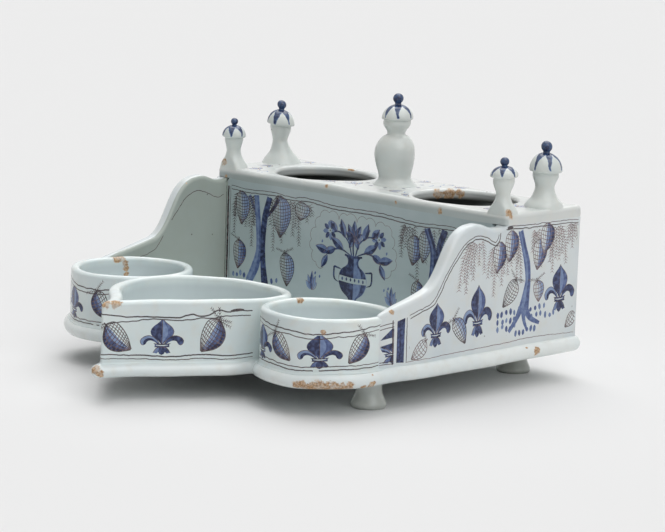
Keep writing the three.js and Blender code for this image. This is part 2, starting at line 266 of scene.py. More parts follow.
def paintLily(p, x, z, wide, high, turn=0, blunt=0.0, petal=0.25):
    # a fleur-de-lis that stands on the point x, z
    p.at(x, z, turn, wide, high)
    fine, dark = lily["fine"], lily["dark"]
    half = [0.035, 0.30, 0.78, 1.0, 0.93, 0.60 + blunt * 0.2, 0.22 + blunt * 0.5, blunt * 0.5]
    edge = [(h * petal, y) for h, y in zip(half, lily["rise"])]
    middle = [(0.0, y) for y in lily["rise"]]
    p.wash(flipped(edge), middle, blue, [0.95, dark, 0.9])
    p.wash(middle, [(a * 0.55, y) for a, y in edge], blue, lily["light"])
    p.wash([(a * 0.5, y) for a, y in edge], edge, blue, lily["mid"])
    p.stroke(edge, fine, brown, lily["edge"], ends=(1, 1))
    p.stroke(middle, fine * 1.3, brown, 0.9, ends=(1, 0.6))
    outer, inner = lily["outer"], lily["inner"]
    heart = [((a + c) / 2, (b + d) / 2) for (a, b), (c, d) in zip(outer, inner)]
    p.wash(flipped(outer), flipped(inner), blue, [0.6, 0.45, 0.55])
    p.wash(flipped(heart), flipped(inner), blue, dark)
    p.wash(outer, inner, blue, [0.8, dark, 0.9])
    for line in (flipped(outer), outer):
        p.stroke(line, fine, brown, lily["edge"], ends=(1, 1))
    # the three-lobed foot and the tie
    low, high = lily["sideLobe"]
    p.wash(flipped(low), flipped(high), blue, 0.66)
    p.wash(low, high, blue, lily["tieTone"])
    low, high = lily["midLobe"]
    p.wash(flipped(low), high, blue, lily["tieTone"])
    p.wash(high, low, blue, dark)
    for line in (flipped(lily["lobeLine"]), lily["lobeLine"]):
        p.stroke(line, fine, brown, lily["edge"], ends=(1, 1))
    p.wash(*lily["tie"], blue, 0.92)
    p.stroke(lily["tieGap"], 0.5, bare)
    for line in lily["tieLines"]:
        p.stroke(line, fine, brown, lily["tieTone"], ends=(1, 1))


cone = {
    "edge": [(0, 0.02), (0.11, 0.16), (0.3, 0.38), (0.55, 0.5), (0.78, 0.47), (0.93, 0.3), (1, 0.08)],
    "net": 0.42, "netTone": 0.9, "outline": 0.55, "droop": 0.06, "bow": 0.07, "full": 1.08, "lean": 0.9,
    "shading": ((-0.1, 0.5), (0.3, 0.8), (0.66, 1.0)),
    "sprigs": (-66, 58, -22, 88),
}


def paintCone(p, x, z, long, wide, turn=0, depth=0.9, line=0.9, mesh=2.3, sprigs=0, shade=1):
    # a scaly cone hanging from its stalk: netted with fine lines, and shaded down its fuller side
    p.at(x, z, turn, wide, long)
    v = np.linspace(0, 1, 9)
    half = np.interp(v, *zip(*cone["edge"]))
    y = v - 0.5
    bow = shade * cone["bow"] * np.sin(np.pi * v)
    edges = {side: side * half * cone["full" if side == shade else "lean"] + bow for side in (-1, 1)}
    p.wash(list(zip(edges[-1], y)), list(zip(edges[1], y)), bare)
    if depth:
        rim = edges[shade]
        for start, tone in cone["shading"]:
            p.wash(list(zip(rim * 0.98, y)), list(zip(bow + (rim - bow) * start, y)), blue, tone * depth)

    def net(points):
        p.stroke(points, cone["net"], brown, line * cone["netTone"], ends=(1, 1), spacing=2)

    count = max(3, int(round(wide / mesh)) - 1)
    for k in np.linspace(-1, 1, count + 2)[1:-1]:
        net(list(zip(np.where(k < 0, -edges[-1] * k, edges[1] * k), y)))
    count = max(4, int(round(long / mesh)) - 1)
    for level in np.linspace(0, 1, count + 2)[1:-1]:
        a, b = (np.interp(level, v, edges[side]) * 0.97 for side in (-1, 1))
        h = level - 0.5
        droop = cone["droop"] * math.sin(math.pi * level)
        net([(a, h), ((a + b) / 2, h - droop), (b, h)])
    for side in (-1, 1):
        p.stroke(list(zip(edges[side], y)), cone["outline"], brown, line, ends=(1, 0.8))
    if sprigs:
        stalk = p.place([(0, 0.5)])[0]
        p.at(*stalk, turn)
        p.stroke([(0, -1.5), (0, 1.6)], 0.9, brown, 0.9, ends=(1, 1))
        for spread in cone["sprigs"][:sprigs]:
            c, s = math.sin(math.radians(spread)), math.cos(math.radians(spread))
            spine = [(0, 0), (c * 3, s * 2.4), (c * 8, s * 4.4 + 0.5)]
            paintFeather(p, spine, 0.95, barb=2.0, gap=1.3, width=0.42)


feather = {"barb": 3.7, "gap": 1.75, "width": 0.48, "taper": 0.4, "lean": 50, "sway": 7}


def paintFeather(p, spine, tone, barb=feather["barb"], gap=feather["gap"], width=feather["width"]):
    # a needle-leaved twig: a fine spine with short marks leaning towards its end
    line = smoothLine(p.place(spine), gap, corner=brush["corner"])
    way = np.gradient(line, axis=0)
    way /= np.maximum(np.linalg.norm(way, axis=1), 1e-9)[:, None]
    p.stroke(spine, width * 0.6, brown, tone * 0.9, ends=(1, 0.6))
    for i, (start, along) in enumerate(zip(line, way)):
        share = i / max(1, len(line) - 1)
        reach = barb * (1 - feather["taper"] * share) * p.hand.uniform(0.75, 1.15)
        for side in (-1, 1):
            lean = math.radians(p.hand.gauss(feather["lean"], feather["sway"])) * side
            c, s = math.cos(lean), math.sin(lean)
            end = start + reach * np.array([c * along[0] - s * along[1], s * along[0] + c * along[1]])
            p.tick(start, end, width * p.hand.uniform(0.85, 1.2), brown, tone * p.hand.uniform(0.85, 1.2))


boughs = {"between": 2, "spread": 0.55, "short": (0.6, 0.8), "lift": 1.5}


def paintBoughs(p, fans, tone):
    # hanging fans of twigs, each from about one place to its ends, with shorter twigs in between
    p.at(0, 0)
    for start, ends in fans:
        ends = np.array(ends, float)
        count = (len(ends) - 1) * boughs["between"] + 1
        fan = np.column_stack([
            np.interp(np.linspace(0, 1, count), np.linspace(0, 1, len(ends)), ends[:, i]) for i in (0, 1)
        ])
        for i, end in enumerate(fan):
            first = np.array(start) + [(end[0] - start[0]) * boughs["spread"], p.hand.uniform(-1.5, 0.5)]
            middle = (first + end) / 2 + [(end[0] - first[0]) * 0.22, boughs["lift"]]
            short = 1 if i % boughs["between"] == 0 else p.hand.uniform(*boughs["short"])
            last = first + (end - first) * short
            paintFeather(p, [first, (middle + first * 0.02) / 1.02, last], tone)


def paintLine(p, points, width=0.42, tone=0.7, wobble=0.1):
    # one thin wavering line
    p.at(0, 0)
    p.stroke(points, width, brown, tone, ends=(0.8, 0.8), wobble=wobble)


rope = {"width": 0.7, "thin": 0.8, "wobble": 0.13, "ends": (0.7, 0.7)}


def paintRope(p, points, gap):
    # the pair of wavering lines that frames each field
    width, ends, wobble = rope["width"], rope["ends"], rope["wobble"]
    p.at(0, 0)
    p.stroke(points, width, brown, 1.0, ends=ends, wobble=wobble)
    p.stroke(points, width * rope["thin"], brown, 0.9, ends=ends, wobble=wobble, shift=gap)


def paintTrunk(p, points, widths, tone, side):
    # a tree's trunk in one broad wash with a darker edge
    p.at(0, 0)
    p.stroke(points, widths, bare)
    p.stroke(points, widths, blue, tone)
    for way, share, dark in ((0.26, 0.42, side), (-0.38, 0.16, side * 0.9)):
        line = [(x + w * way, z) for (x, z), w in zip(points, widths)]
        p.stroke(line, [w * share for w in widths], blue, dark)


def paintRoots(p, roots, tone):
    p.at(0, 0)
    for points, widths in roots:
        p.stroke(points, widths, blue, tone)


ground = {"row": 4.2, "apart": (3.1, 4.6), "tone": 0.72,
          "long": (2.9, 4.4), "wide": (1.9, 2.6), "turn": (78, 102)}


def paintGround(p, patches):
    # loose rows of upright dabs
    p.at(0, 0)
    for left, right, low, high in patches:
        rows = max(1, int((high - low) / ground["row"]))
        for row in range(rows):
            z = high - (row + 0.5) * (high - low) / rows
            x = left + p.hand.uniform(0, 2.2)
            while x < right:
                level = z + p.hand.uniform(-1.1, 1.1)
                long, wide, turn = (p.hand.uniform(*ground[key]) for key in ("long", "wide", "turn"))
                p.dab(x, level, long, wide, turn, blue, ground["tone"] * p.hand.uniform(0.75, 1.15))
                x += p.hand.uniform(*ground["apart"])


def paintScallops(p, points, bulge, width, tone):
    # a thin outline of small lobes
    for (ax, ay), (bx, by) in zip(points, points[1:]):
        nx, ny = by - ay, ax - bx
        third = [(ax + (bx - ax) * t + nx * bulge * k, ay + (by - ay) * t + ny * bulge * k)
                 for t, k in ((0.2, 0.75), (0.5, 1.0), (0.8, 0.75))]
        p.stroke([(ax, ay), *third, (bx, by)], width, brown, tone, ends=(1, 1))


leaf = {"rise": [0, 0.2, 0.5, 0.8, 1.0], "half": [0.04, 0.38, 0.5, 0.28, 0.02], "bend": 0.06, "line": 0.3}


def paintLeaf(p, x, z, long, wide, turn, tones):
    # a leaf with a tone for each half
    p.at(x, z, turn, wide, long)
    edge = list(zip(leaf["half"], leaf["rise"]))
    middle = [(leaf["bend"] * math.sin(math.pi * a), a) for a in leaf["rise"]]
    p.wash(flipped(edge), middle, blue, tones[0])
    p.wash(middle, edge, blue, tones[1])
    p.stroke(edge, leaf["line"], brown, 0.7, ends=(1, 1))


def paintBlossom(p, x, z, size, petals, turn):
    p.at(0, 0)
    for i in range(petals):
        a = turn + i * 360 / petals
        c, s = (f(math.radians(a)) * size * 0.33 for f in (math.cos, math.sin))
        p.dab(x + c, z + s, size * 0.42, size * 0.25, a, blue, 0.95 if i % 2 else 0.6)
    p.dab(x, z, size * 0.2, size * 0.2, 0, bare)
    p.dab(x, z, size * 0.1, size * 0.1, 0, brown, 0.9)


def laidInks(points, triangles, bands):
    # the blue and the brown at each corner of each triangle
    middles = points[triangles].mean(1)
    inks = np.zeros((len(triangles), 3, 2))
    order = np.argsort(middles[:, 0])
    across = middles[order, 0]
    stretches = [
        (left[i:i + 9], right[i:i + 9], ink, tone[i:i + 9])
        for left, right, ink, tone in bands for i in range(0, len(left) - 1, 8)
    ]
    for left, right, ink, tone in stretches:
        both = np.vstack([left, right])
        low, high = both.min(0), both.max(0)
        near = order[np.searchsorted(across, low[0]):np.searchsorted(across, high[0])]
        near = near[(middles[near, 1] >= low[1]) & (middles[near, 1] <= high[1])]
        if not len(near):
            continue
        m = middles[near][:, None, :]
        covered = np.zeros((len(near), len(left) - 1), bool)
        corners = (left[:-1], right[:-1], right[1:], left[1:])
        for a, b, c in ((0, 1, 2), (0, 2, 3)):
            signs = []
            for p, q in ((a, b), (b, c), (c, a)):
                d, e = corners[q] - corners[p], m - corners[p][None]
                signs.append(d[None, :, 0] * e[..., 1] - d[None, :, 1] * e[..., 0])
            signs = np.array(signs)
            covered |= np.all(signs >= -1e-6, axis=0) | np.all(signs <= 1e-6, axis=0)
        hit = covered.any(1)
        found = near[hit]
        part = covered[hit].argmax(1)
        start = (left[part] + right[part]) / 2
        run = (left[part + 1] + right[part + 1]) / 2 - start
        length = np.maximum((run**2).sum(1), 1e-9)
        t = ((points[triangles[found]] - start[:, None]) * run[:, None]).sum(2) / length[:, None]
        t = np.clip(t, 0, 1)
        shade = tone[part][:, None] * (1 - t) + tone[part + 1][:, None] * t
        if ink == bare:
            inks[found] = 0
        else:
            inks[found, :, ink] = np.maximum(inks[found, :, ink], shade)
    return inks


def trimmed(bands, loops):
    # only the stretches of each stroke that lie on the face
    if not bands:
        return []
    sides = [np.vstack([band[i] for band in bands]) for i in (0, 1)]
    lies = [inside(side, loops[0]) for side in sides]
    for hole in loops[1:]:
        lies = [a & ~inside(side, hole) for a, side in zip(lies, sides)]
    ends = np.cumsum([len(band[0]) for band in bands])[:-1]
    kept = []
    for (left, right, ink, tone), on in zip(bands, np.split(lies[0] & lies[1], ends)):
        if on.all():
            kept.append((left, right, ink, tone))
            continue
        cuts = np.flatnonzero(np.diff(np.r_[False, on, False]))
        for a, b in zip(cuts[::2], cuts[1::2]):
            if b - a > 1:
                kept.append((left[a:b], right[a:b], ink, tone[a:b]))
    return kept


def inlaid(loops, bands, step):
    # a flat face between its loops (the outer one first), cut along every stroke that lies in it
    bands = trimmed(bands, loops)
    points, edges = [], []
    for loop in loops:
        first, n = len(points), len(loop)
        points += loop.tolist()
        edges += [(first + i, first + (i + 1) % n) for i in range(n)]
    fixed = np.array(points)
    for left, right, _, _ in bands:
        ring = np.vstack([left, right[::-1]])
        first, n = len(points), len(ring)
        points += ring.tolist()
        edges += [(first + i, first + (i + 1) % n) for i in range(n)]
    low, high = loops[0].min(0), loops[0].max(0)
    xs = np.arange(low[0] + step / 2, high[0], step)
    ys = np.arange(low[1] + step / 2, high[1], step)
    field = np.array([(x + (j % 2) * step / 2, y) for j, y in enumerate(ys) for x in xs])
    if len(field):
        keep = inside(field, loops[0])
        for hole in loops[1:]:
            keep &= ~inside(field, hole)
        field = field[keep]
        gaps = np.array([np.min(np.abs(fixed - p).max(1)) for p in field])
        points += field[gaps > step * 0.3].tolist()
    verts, _, faces, sources, _, _ = delaunay_2d_cdt(
        [Vector(p) for p in points], edges, [], 1, 0.001, True
    )
    made = np.array([tuple(v) for v in verts])
    for i, source in enumerate(sources):
        own = [s for s in source if s < len(fixed)]
        if own:
            made[i] = fixed[own[0]]
    triangles = np.array([f for f in faces if len(f) == 3])
    middles = made[triangles].mean(1)
    keep = inside(middles, loops[0])
    for hole in loops[1:]:
        keep &= ~inside(middles, hole)
    triangles = triangles[keep]
    return made, triangles, laidInks(made, triangles, bands)


# Clay pieces

handWaves = [
    ((0.021, 0.034, 0.050), 0.7, (0.14, 0.10, 0.12)),
    ((-0.047, 0.026, 0.031), 2.1, (0.10, 0.14, 0.13)),
    ((0.071, -0.058, 0.040), 4.4, (0.08, 0.08, 0.14)),
    ((-0.13, -0.11, 0.05), 1.3, (0.06, 0.06, 0.12)),
]
sag = {"wall": 4.4, "under": 2.7, "foot": 30.0, "rim": 58.0, "pans": 0.42}
hand = {
    "flank": (-33, -95, 25, (-4.6, -3.5)),  # the pointed pan's left flank is fuller
    "pan": (59, -66, 17, (-1.6, -1.6)),  # the right pan bulges towards its neighbour
    "rim": (80, -4, 24, -1.3),  # and its far rim is low
}


def near(p, x, y, reach):
    return np.exp(-((p[:, 0] - x) ** 2 + (p[:, 1] - y) ** 2) / reach**2)


def handmade(p):
    # hand-rolled unevenness, the same for neighbouring pieces, and none under the feet
    shift = np.zeros_like(p)
    for wave, phase, reach in handWaves:
        shift += np.sin(p @ np.array(wave) + phase)[:, None] * np.array(reach)
    shift *= np.clip(p[:, 2:] / 14, 0, 1) ** 2
    for key in ("flank", "pan"):
        x, y, reach, way = hand[key]
        shift[:, :2] += near(p, x, y, reach)[:, None] * way
    x, y, reach, drop = hand["rim"]
    shift[:, 2] += near(p, x, y, reach) * drop * np.clip((p[:, 2] - 30) / 28, 0, 1)
    # the floor sags towards the beak, and takes the walls' feet with it
    beside = np.abs(p[:, 0])
    share = np.interp(beside, [42, 64, 96, 118], [1, sag["pans"], sag["pans"], 0])
    ahead = np.clip((-12 - p[:, 1]) / 40, 0, 1)
    share = share * ahead * ahead * (3 - 2 * ahead)
    heights = [15, 17, 26, sag["foot"], sag["rim"]]
    drop = np.interp(p[:, 2], heights, [0, sag["under"], sag["wall"], sag["wall"], 0])
    shift[:, 2] -= share * drop
    return p + shift


def beforeSag(z):
    # the height that a mark is painted at on the pointed pan, for it to end up at height z
    slope = sag["wall"] / (sag["rim"] - sag["foot"])
    return (z + slope * sag["rim"]) / (1 + slope)


def gridNormals(points, closed):
    along = np.roll(points, -1, axis=1) - np.roll(points, 1, axis=1)
    if not closed:
        along = np.gradient(points, axis=1)
    across = np.gradient(points, axis=0)
    n = np.cross(along, across)
    size = np.linalg.norm(n, axis=2, keepdims=True)
    return n / np.maximum(size, 1e-9)


def wound(points, turns, group):
    # a group's real faces, wound the way that their normals say, and the normals turned as the clay was
    faces, normals, inks = (np.concatenate([block[i] for block in group]) for i in range(3))
    size = faces.shape[1]
    real = np.ones(len(faces), bool)
    for a in range(size):
        for b in range(a):
            real &= faces[:, a] != faces[:, b]
    faces, normals, inks = faces[real], normals[real], inks[real]
    p = points[faces]
    facing = np.cross(p[:, 1] - p[:, 0], p[:, 2] - p[:, 0])
    if size == 4:
        facing = np.cross(p[:, 2] - p[:, 0], p[:, 3] - p[:, 1])
    wrong = (facing * normals.mean(1)).sum(1) < 0
    for block in (faces, normals, inks):
        block[wrong] = block[wrong][:, ::-1]
    normals = np.einsum("fcij,fcj->fci", turns[faces], normals)
    normals /= np.maximum(np.linalg.norm(normals, axis=2, keepdims=True), 1e-9)
    return faces, normals, inks


class Clay:
    def __init__(self):
        self.parts = []

    def add(self, points, faces, normals, inks=None, wearAndShade=None):
        if inks is None:
            inks = np.zeros(faces.shape + (2,))
        if wearAndShade is None:
            wearAndShade = np.zeros(len(points))
        self.parts.append((points, faces, normals, inks, wearAndShade))

    def grid(self, points, normals=None, closed=True, wearAndShade=None):
        rings, stations = points.shape[:2]
        if normals is None:
            normals = gridNormals(points, closed)
        ids = np.arange(rings * stations).reshape(rings, stations)
        here = ids if closed else ids[:, :-1]
        ahead = np.roll(ids, -1, axis=1) if closed else ids[:, 1:]
        faces = np.stack([here[:-1], ahead[:-1], ahead[1:], here[1:]], -1).reshape(-1, 4)
        if wearAndShade is not None:
            wearAndShade = np.repeat(wearAndShade, stations) if np.ndim(wearAndShade) == 1 else wearAndShade.reshape(-1)
        self.add(points.reshape(-1, 3), faces, normals.reshape(-1, 3)[faces], wearAndShade=wearAndShade)

    def flat(self, loops, toSpace, normal, bands=(), step=4.0):
        flatPoints, triangles, inks = inlaid(loops, bands, step)
        points = toSpace(flatPoints)
        normals = np.broadcast_to(np.array(normal, float), triangles.shape + (3,))
        self.add(points, triangles, normals, inks)

    def welded(self):
        # the parts' points as one set, and their faces as triangles and quads, with normals and inks
        offset, points, wearAndShade, blocks = 0, [], [], []
        for p, faces, normals, inks, wornAndShaded in self.parts:
            points.append(p)
            wearAndShade.append(wornAndShaded)
            blocks.append((faces + offset, normals, inks))
            offset += len(p)
        points, wearAndShade = np.vstack(points), np.concatenate(wearAndShade)
        _, first, back = np.unique(
            np.round(np.round(points, 6), 3), axis=0, return_index=True, return_inverse=True
        )
        back = back.reshape(-1)
        tris, quads = [], []
        for faces, normals, inks in blocks:
            faces = back[faces]
            if faces.shape[1] == 3:
                tris.append((faces, normals, inks))
                continue
            # a quad with one side welded shut is a triangle
            clean = np.ones(len(faces), bool)
            for j in range(4):
                same = (faces[:, j] == faces[:, (j + 1) % 4]) & clean
                kept = [k for k in range(4) if k != j]
                tris.append((faces[same][:, kept], normals[same][:, kept], inks[same][:, kept]))
                clean &= ~same
            quads.append((faces[clean], normals[clean], inks[clean]))
        return points[first], wearAndShade[first], (tris, quads)

    def piece(self, name, nodes, material, shape=None):
        points, wearAndShade, groups = self.welded()

        def moved(p):
            return handmade(shape(p) if shape else p)

        final = moved(points)
        # how the clay turned at each point, from three short steps
        step = 0.05
        slopes = np.stack([(moved(points + np.eye(3)[i] * step) - final) / step for i in range(3)], -1)
        turns = np.linalg.inv(slopes + np.eye(3) * 1e-9).transpose(0, 2, 1)
        blocks = [wound(final, turns, group) for group in groups if sum(len(g[0]) for g in group)]
        loops = np.concatenate([faces.reshape(-1) for faces, _, _ in blocks])
        totals = np.concatenate([np.full(len(faces), faces.shape[1]) for faces, _, _ in blocks])
        normals = np.vstack([block[1].reshape(-1, 3) for block in blocks])
        inks = np.vstack([block[2].reshape(-1, 2) for block in blocks])
        mesh = bpy.data.meshes.new(name)
        mesh.vertices.add(len(final))
        mesh.vertices.foreach_set("co", (final * mm).astype(np.float32).ravel())
        mesh.loops.add(len(loops))
        mesh.loops.foreach_set("vertex_index", loops.astype(np.int32))
        mesh.polygons.add(len(totals))
        starts = np.r_[0, np.cumsum(totals)[:-1]]
        mesh.polygons.foreach_set("loop_start", starts.astype(np.int32))
        mesh.update(calc_edges=True)
        mesh.polygons.foreach_set("use_smooth", np.ones(len(totals), bool))
        paint = mesh.attributes.new("ink", "FLOAT_COLOR", "CORNER")
        colour = np.zeros((len(loops), 4), np.float32)
        colour[:, :2] = inks
        colour[:, 3] = 1
        paint.data.foreach_set("color", colour.ravel())
        wornAndShaded = mesh.attributes.new("wearAndShade", "FLOAT", "POINT")
        wornAndShaded.data.foreach_set("value", wearAndShade.astype(np.float32))
        mesh.normals_split_custom_set(normals.tolist())
        thing = bpy.data.objects.new(name, mesh)
        scene.collection.objects.link(thing)
        mesh.materials.append(material)
        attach(thing, "root")
        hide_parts(*nodes)
        print(name, len(final), "points", len(totals), "faces")
        return thing


def slab(clay, loop, axes, thickness, frontRound, backRound, front=(), back=(), holes=(), steps=6, mesh=4.0):
    # a slab of clay: both faces, the rounded edge along every loop, and the paint on each face
    origin, u, v, deep = (np.array(a, float) for a in axes)

    def toSpace(flat, depth=0.0):
        depth = np.broadcast_to(depth, len(flat))
        return origin + flat[:, :1] * u + flat[:, 1:] * v + depth[:, None] * deep

    frontLoops, backLoops = [], []
    for i, outline in enumerate([loop, *holes]):
        rf = np.broadcast_to(frontRound[i] if isinstance(frontRound, list) else frontRound, len(outline))
        rb = np.broadcast_to(backRound[i] if isinstance(backRound, list) else backRound, len(outline))
        into = intoClay(outline)
        unit = into / np.linalg.norm(into, axis=1)[:, None]
        outward = -(unit[:, :1] * u + unit[:, 1:] * v)
        rings, normals, wearAndShade = [], [], []
        for end, r in ((0, rf), (1, rb)):
            for k in range(steps + 1):
                turn = k / steps * math.pi / 2
                turn = turn if end == 0 else math.pi / 2 - turn
                drop = r * (1 - math.cos(turn))
                depth = drop if end == 0 else thickness - drop
                rings.append(toSpace(outline + into * (r * (1 - math.sin(turn)))[:, None], depth))
                face = -deep if end == 0 else deep
                normals.append(face * math.cos(turn) + outward * math.sin(turn))
                wearAndShade.append(math.sin(2 * turn) * np.clip(r / 1.5, 0, 1))
        clay.grid(np.array(rings), np.array(normals), wearAndShade=np.array(wearAndShade))
        frontLoops.append(outline + into * rf[:, None])
        backLoops.append(outline + into * rb[:, None])
    clay.flat(frontLoops, toSpace, -deep, front, mesh)
    clay.flat(backLoops, lambda f: toSpace(f, thickness), deep, back, mesh)


# Materials

class Wire:
    def __init__(self, shader, out):
        self.shader, self.out = shader, out

    def __add__(self, other):
        return self.shader.maths("ADD", self, other)

    def __sub__(self, other):
        return self.shader.maths("SUBTRACT", self, other)

    def __mul__(self, other):
        return self.shader.maths("MULTIPLY", self, other)

    def __truediv__(self, other):
        return self.shader.maths("DIVIDE", self, other)

    def __rsub__(self, other):
        return self.shader.maths("SUBTRACT", other, self)

    __radd__, __rmul__ = __add__, __mul__

    def ramp(self, low, high):
        sockets = {"Value": self, "From Min": low, "From Max": high}
        return self.shader.node("ShaderNodeMapRange", {"interpolation_type": "SMOOTHSTEP"}, sockets)


class Shader:
    def __init__(self, name):
        self.material = bpy.data.materials.new(name)
        self.material.use_nodes = True
        self.tree = self.material.node_tree
        self.tree.nodes.clear()

    def node(self, kind, settings=None, sockets=None, out=0):
        made = self.tree.nodes.new(kind)
        for key, value in (settings or {}).items():
            if key == "stops":
                for i, (at, colour) in enumerate(value):
                    stop = made.color_ramp.elements[i] if i < 2 else made.color_ramp.elements.new(at)
                    stop.position, stop.color = at, (*colour, 1)
            else:
                setattr(made, key, value)
        for key, value in (sockets or {}).items():
            if isinstance(value, Wire):
                self.tree.links.new(value.out, made.inputs[key])
            else:
                made.inputs[key].default_value = value
        return Wire(self, made.outputs[out]) if made.outputs else None

    def maths(self, operation, *values):
        return self.node("ShaderNodeMath", {"operation": operation}, dict(enumerate(values)))

    def mix(self, share, first, second):
        kind = {"data_type": "RGBA"}
        made = self.node("ShaderNodeMix", kind, {0: share}, out=2)
        for key, value in ((6, first), (7, second)):
            socket = made.out.node.inputs[key]
            if isinstance(value, Wire):
                self.tree.links.new(value.out, socket)
            else:
                socket.default_value = (*value, 1)
        return made

    def split(self, where, kind="ShaderNodeSeparateXYZ"):
        # the three parts of a place or colour
        made = self.node(kind, {}, {0: where})
        return [Wire(self, out) for out in made.out.node.outputs]

    def noise(self, where, scale, detail=2.0, rough=0.5):
        return self.node(
            "ShaderNodeTexNoise", {}, {"Vector": where, "Scale": scale, "Detail": detail, "Roughness": rough}
        )

    def surface(self, sockets):
        made = self.node("ShaderNodeBsdfPrincipled", {}, sockets)
        self.node("ShaderNodeOutputMaterial", {}, {"Surface": made})
        return self.material


glaze = {
    "warm": (0.72, 0.71, 0.64),
    "biscuit": (0.34, 0.18, 0.075),
    "biscuitPale": (0.62, 0.43, 0.26),
    "speck": (0.10, 0.08, 0.07),
    "blueWash": (0.24, 0.33, 0.53),
    "blueMid": (0.075, 0.115, 0.28),
    "knobBlue": (0.055, 0.11, 0.235),
    "blueDark": (0.010, 0.014, 0.062),
    "brownThin": (0.41, 0.28, 0.275),
    "brownDark": (0.035, 0.018, 0.022),
    "roughness": 0.2,
    # painted shade: inside the pans, inside the box, on the walls that face the tray and on the shelf's front
    # edge
    "panInsideShade": (0.62, 0.685, 0.70),
    "shadeInBox": (0.13, 0.135, 0.125),
    "trayShade": (0.45, 0.53, 0.545),
    "leftTrayShade": (0.40, 0.445, 0.405),
    "shelfEdgeShade": (0.40, 0.455, 0.45),
    "rightShelfEdgeShade": (0.58, 0.63, 0.62),
    "grime": (0.40, 0.40, 0.35),
}
# the glaze's own pale and cool tone on each piece, with painted light and shade in them: paler on the pans,
# base and finials that catch more light, darker on the feet under the slab
glazeAndLightTones = {
    "wall": ((0.74, 0.79, 0.80), (0.65, 0.72, 0.755)),
    "pan": ((0.80, 0.87, 0.86), (0.71, 0.80, 0.81)),
    "base": ((0.87, 0.915, 0.90), (0.79, 0.86, 0.865)),
    "shelf": ((0.72, 0.745, 0.725), (0.64, 0.685, 0.68)),
    "finial": ((0.75, 0.79, 0.76), (0.66, 0.715, 0.695)),
    "foot": ((0.62, 0.645, 0.61), (0.55, 0.59, 0.57)),
}
# chipped and rubbed places: x, y, z and reach, in millimetres
chips = {
    "wall": ((122.7, -24.6, 59.4, 2.6),),
    "shelf": (
        (71.3, 70.5, 103.4, 3.0), (28.3, 116.0, 104.6, 4.8), (32.4, 122.6, 104.8, 5.4),
        (36.9, 127.0, 105.2, 4.2), (-26.4, 71.0, 106.5, 2.2), (34.5, 70.6, 103.8, 1.6),
        (-117.0, 70.6, 101.6, 2.4), (123.0, 74.0, 106.4, 3.4),
    ),
    "base": (
        (99.2, -77.9, 18.6, 3.8), (103.1, -75.9, 18.8, 5.2), (106.9, -73.7, 18.4, 5.4),
        (110.4, -71.0, 18.5, 5.8), (113.7, -67.9, 18.2, 5.6), (116.8, -64.5, 18.4, 6.0),
        (119.7, -60.9, 18.2, 5.2), (122.2, -57.0, 18.8, 4.6), (126.0, -42.8, 18.8, 4.0),
        (124.6, -48.5, 17.8, 3.2), (129.3, 98.6, 22.6, 4.0), (0.8, -143.5, 19.8, 4.4),
        (3.5, -142.8, 17.6, 4.0),
    ),
    "pan": (
        (54.2, -30.0, 57.0, 3.8), (-114.7, -23.4, 57.4, 5.5), (-112.2, -20.4, 54.0, 3.0),
        (-111.9, -19.8, 50.6, 2.8), (-111.7, -19.6, 47.0, 2.4),
        (0.6, -136.2, 58.4, 5.0), (3.9, -130.8, 58.2, 4.8), (109.5, -67.5, 50.4, 2.4),
    ),
    "finial": ((124.1, 73.3, 108.4, 3.6), (-119.6, 71.0, 110.6, 3.8)),
    "foot": (),
}


# how the glaze varies: how many swings in a metre, levels of detail, and roughness where it isn't a half
uneven = {
    "clouds": (22, 3), "mottle": (120, 3), "grain": (900, 2), "grime": (45, 4), "brushwork": (420, 3),
    "patches": (38, 4, 0.6), "ragged": (330, 4, 0.65), "broken": (300, 3, 0.6),
    "gloss": (260, 2), "swell": (75, 2), "ripple": (420, 2), "strokes": (110, 2),
}
surface = {"specks": 95.0, "tilt": 0.35, "relief": 0.0006, "bends": 1.5}


def inked(s, colour, where, strokes):
    # thin paint stays pale in the glaze, and thick paint runs dark
    ink = s.node("ShaderNodeAttribute", {"attribute_name": "ink"})
    blueInk, brownInk, _ = s.split(ink, "ShaderNodeSeparateColor")
    brushed = s.noise(where, *uneven["brushwork"]).ramp(0.25, 0.75)
    blueInk = blueInk * (brushed * 0.3 + 0.82)
    if strokes:
        blueInk = s.maths("MAXIMUM", blueInk, strokes(s, where, brushed))
    thin, middling, dark = glaze["blueWash"], glaze["knobBlue" if strokes else "blueMid"], glaze["blueDark"]
    stops = [(0.0, thin), (0.45, thin), (0.75, middling), (1.0, dark)]
    blueColour = s.node("ShaderNodeValToRGB", {"stops": stops}, {"Fac": blueInk})
    colour = s.mix(blueInk.ramp(0.0, 0.42), colour, blueColour)
    stops = [(0.0, glaze["brownThin"]), (0.3, glaze["brownThin"]), (0.9, glaze["brownDark"])]
    brownColour = s.node("ShaderNodeValToRGB", {"stops": stops}, {"Fac": brownInk * (brushed * 0.4 + 0.75)})
    return s.mix(brownInk.ramp(0.0, 0.5) * 0.94, colour, brownColour)


def chippedAway(s, kind, where, wornAndShaded, wearShare, grain):
    # bare clay where an edge is rubbed through, and in ragged spots where a chip came off
    patchy = s.noise(where, *uneven["patches"])
    chipped = (wornAndShaded * wearShare * patchy.ramp(0.56, 0.74) + grain * 0.25).ramp(0.44, 0.52)
    spots = None
    for x, y, z, reach in chips[kind]:
        ends = {0: where, 1: (x * mm, y * mm, z * mm)}
        away = s.node("ShaderNodeVectorMath", {"operation": "DISTANCE"}, ends, out=1)
        spot = 1 - away / (reach * mm)
        spots = s.maths("MAXIMUM", spots, spot) if spots else spot
    if spots:
        ragged = s.noise(where, *uneven["ragged"]) * 1.5 - 0.75
        broken = s.noise(where, *uneven["broken"]).ramp(0.3, 0.6)
        chipped = s.maths("MAXIMUM", chipped, (spots + ragged).ramp(0.2, 0.46) * (broken * 0.45 + 0.55))
    return chipped


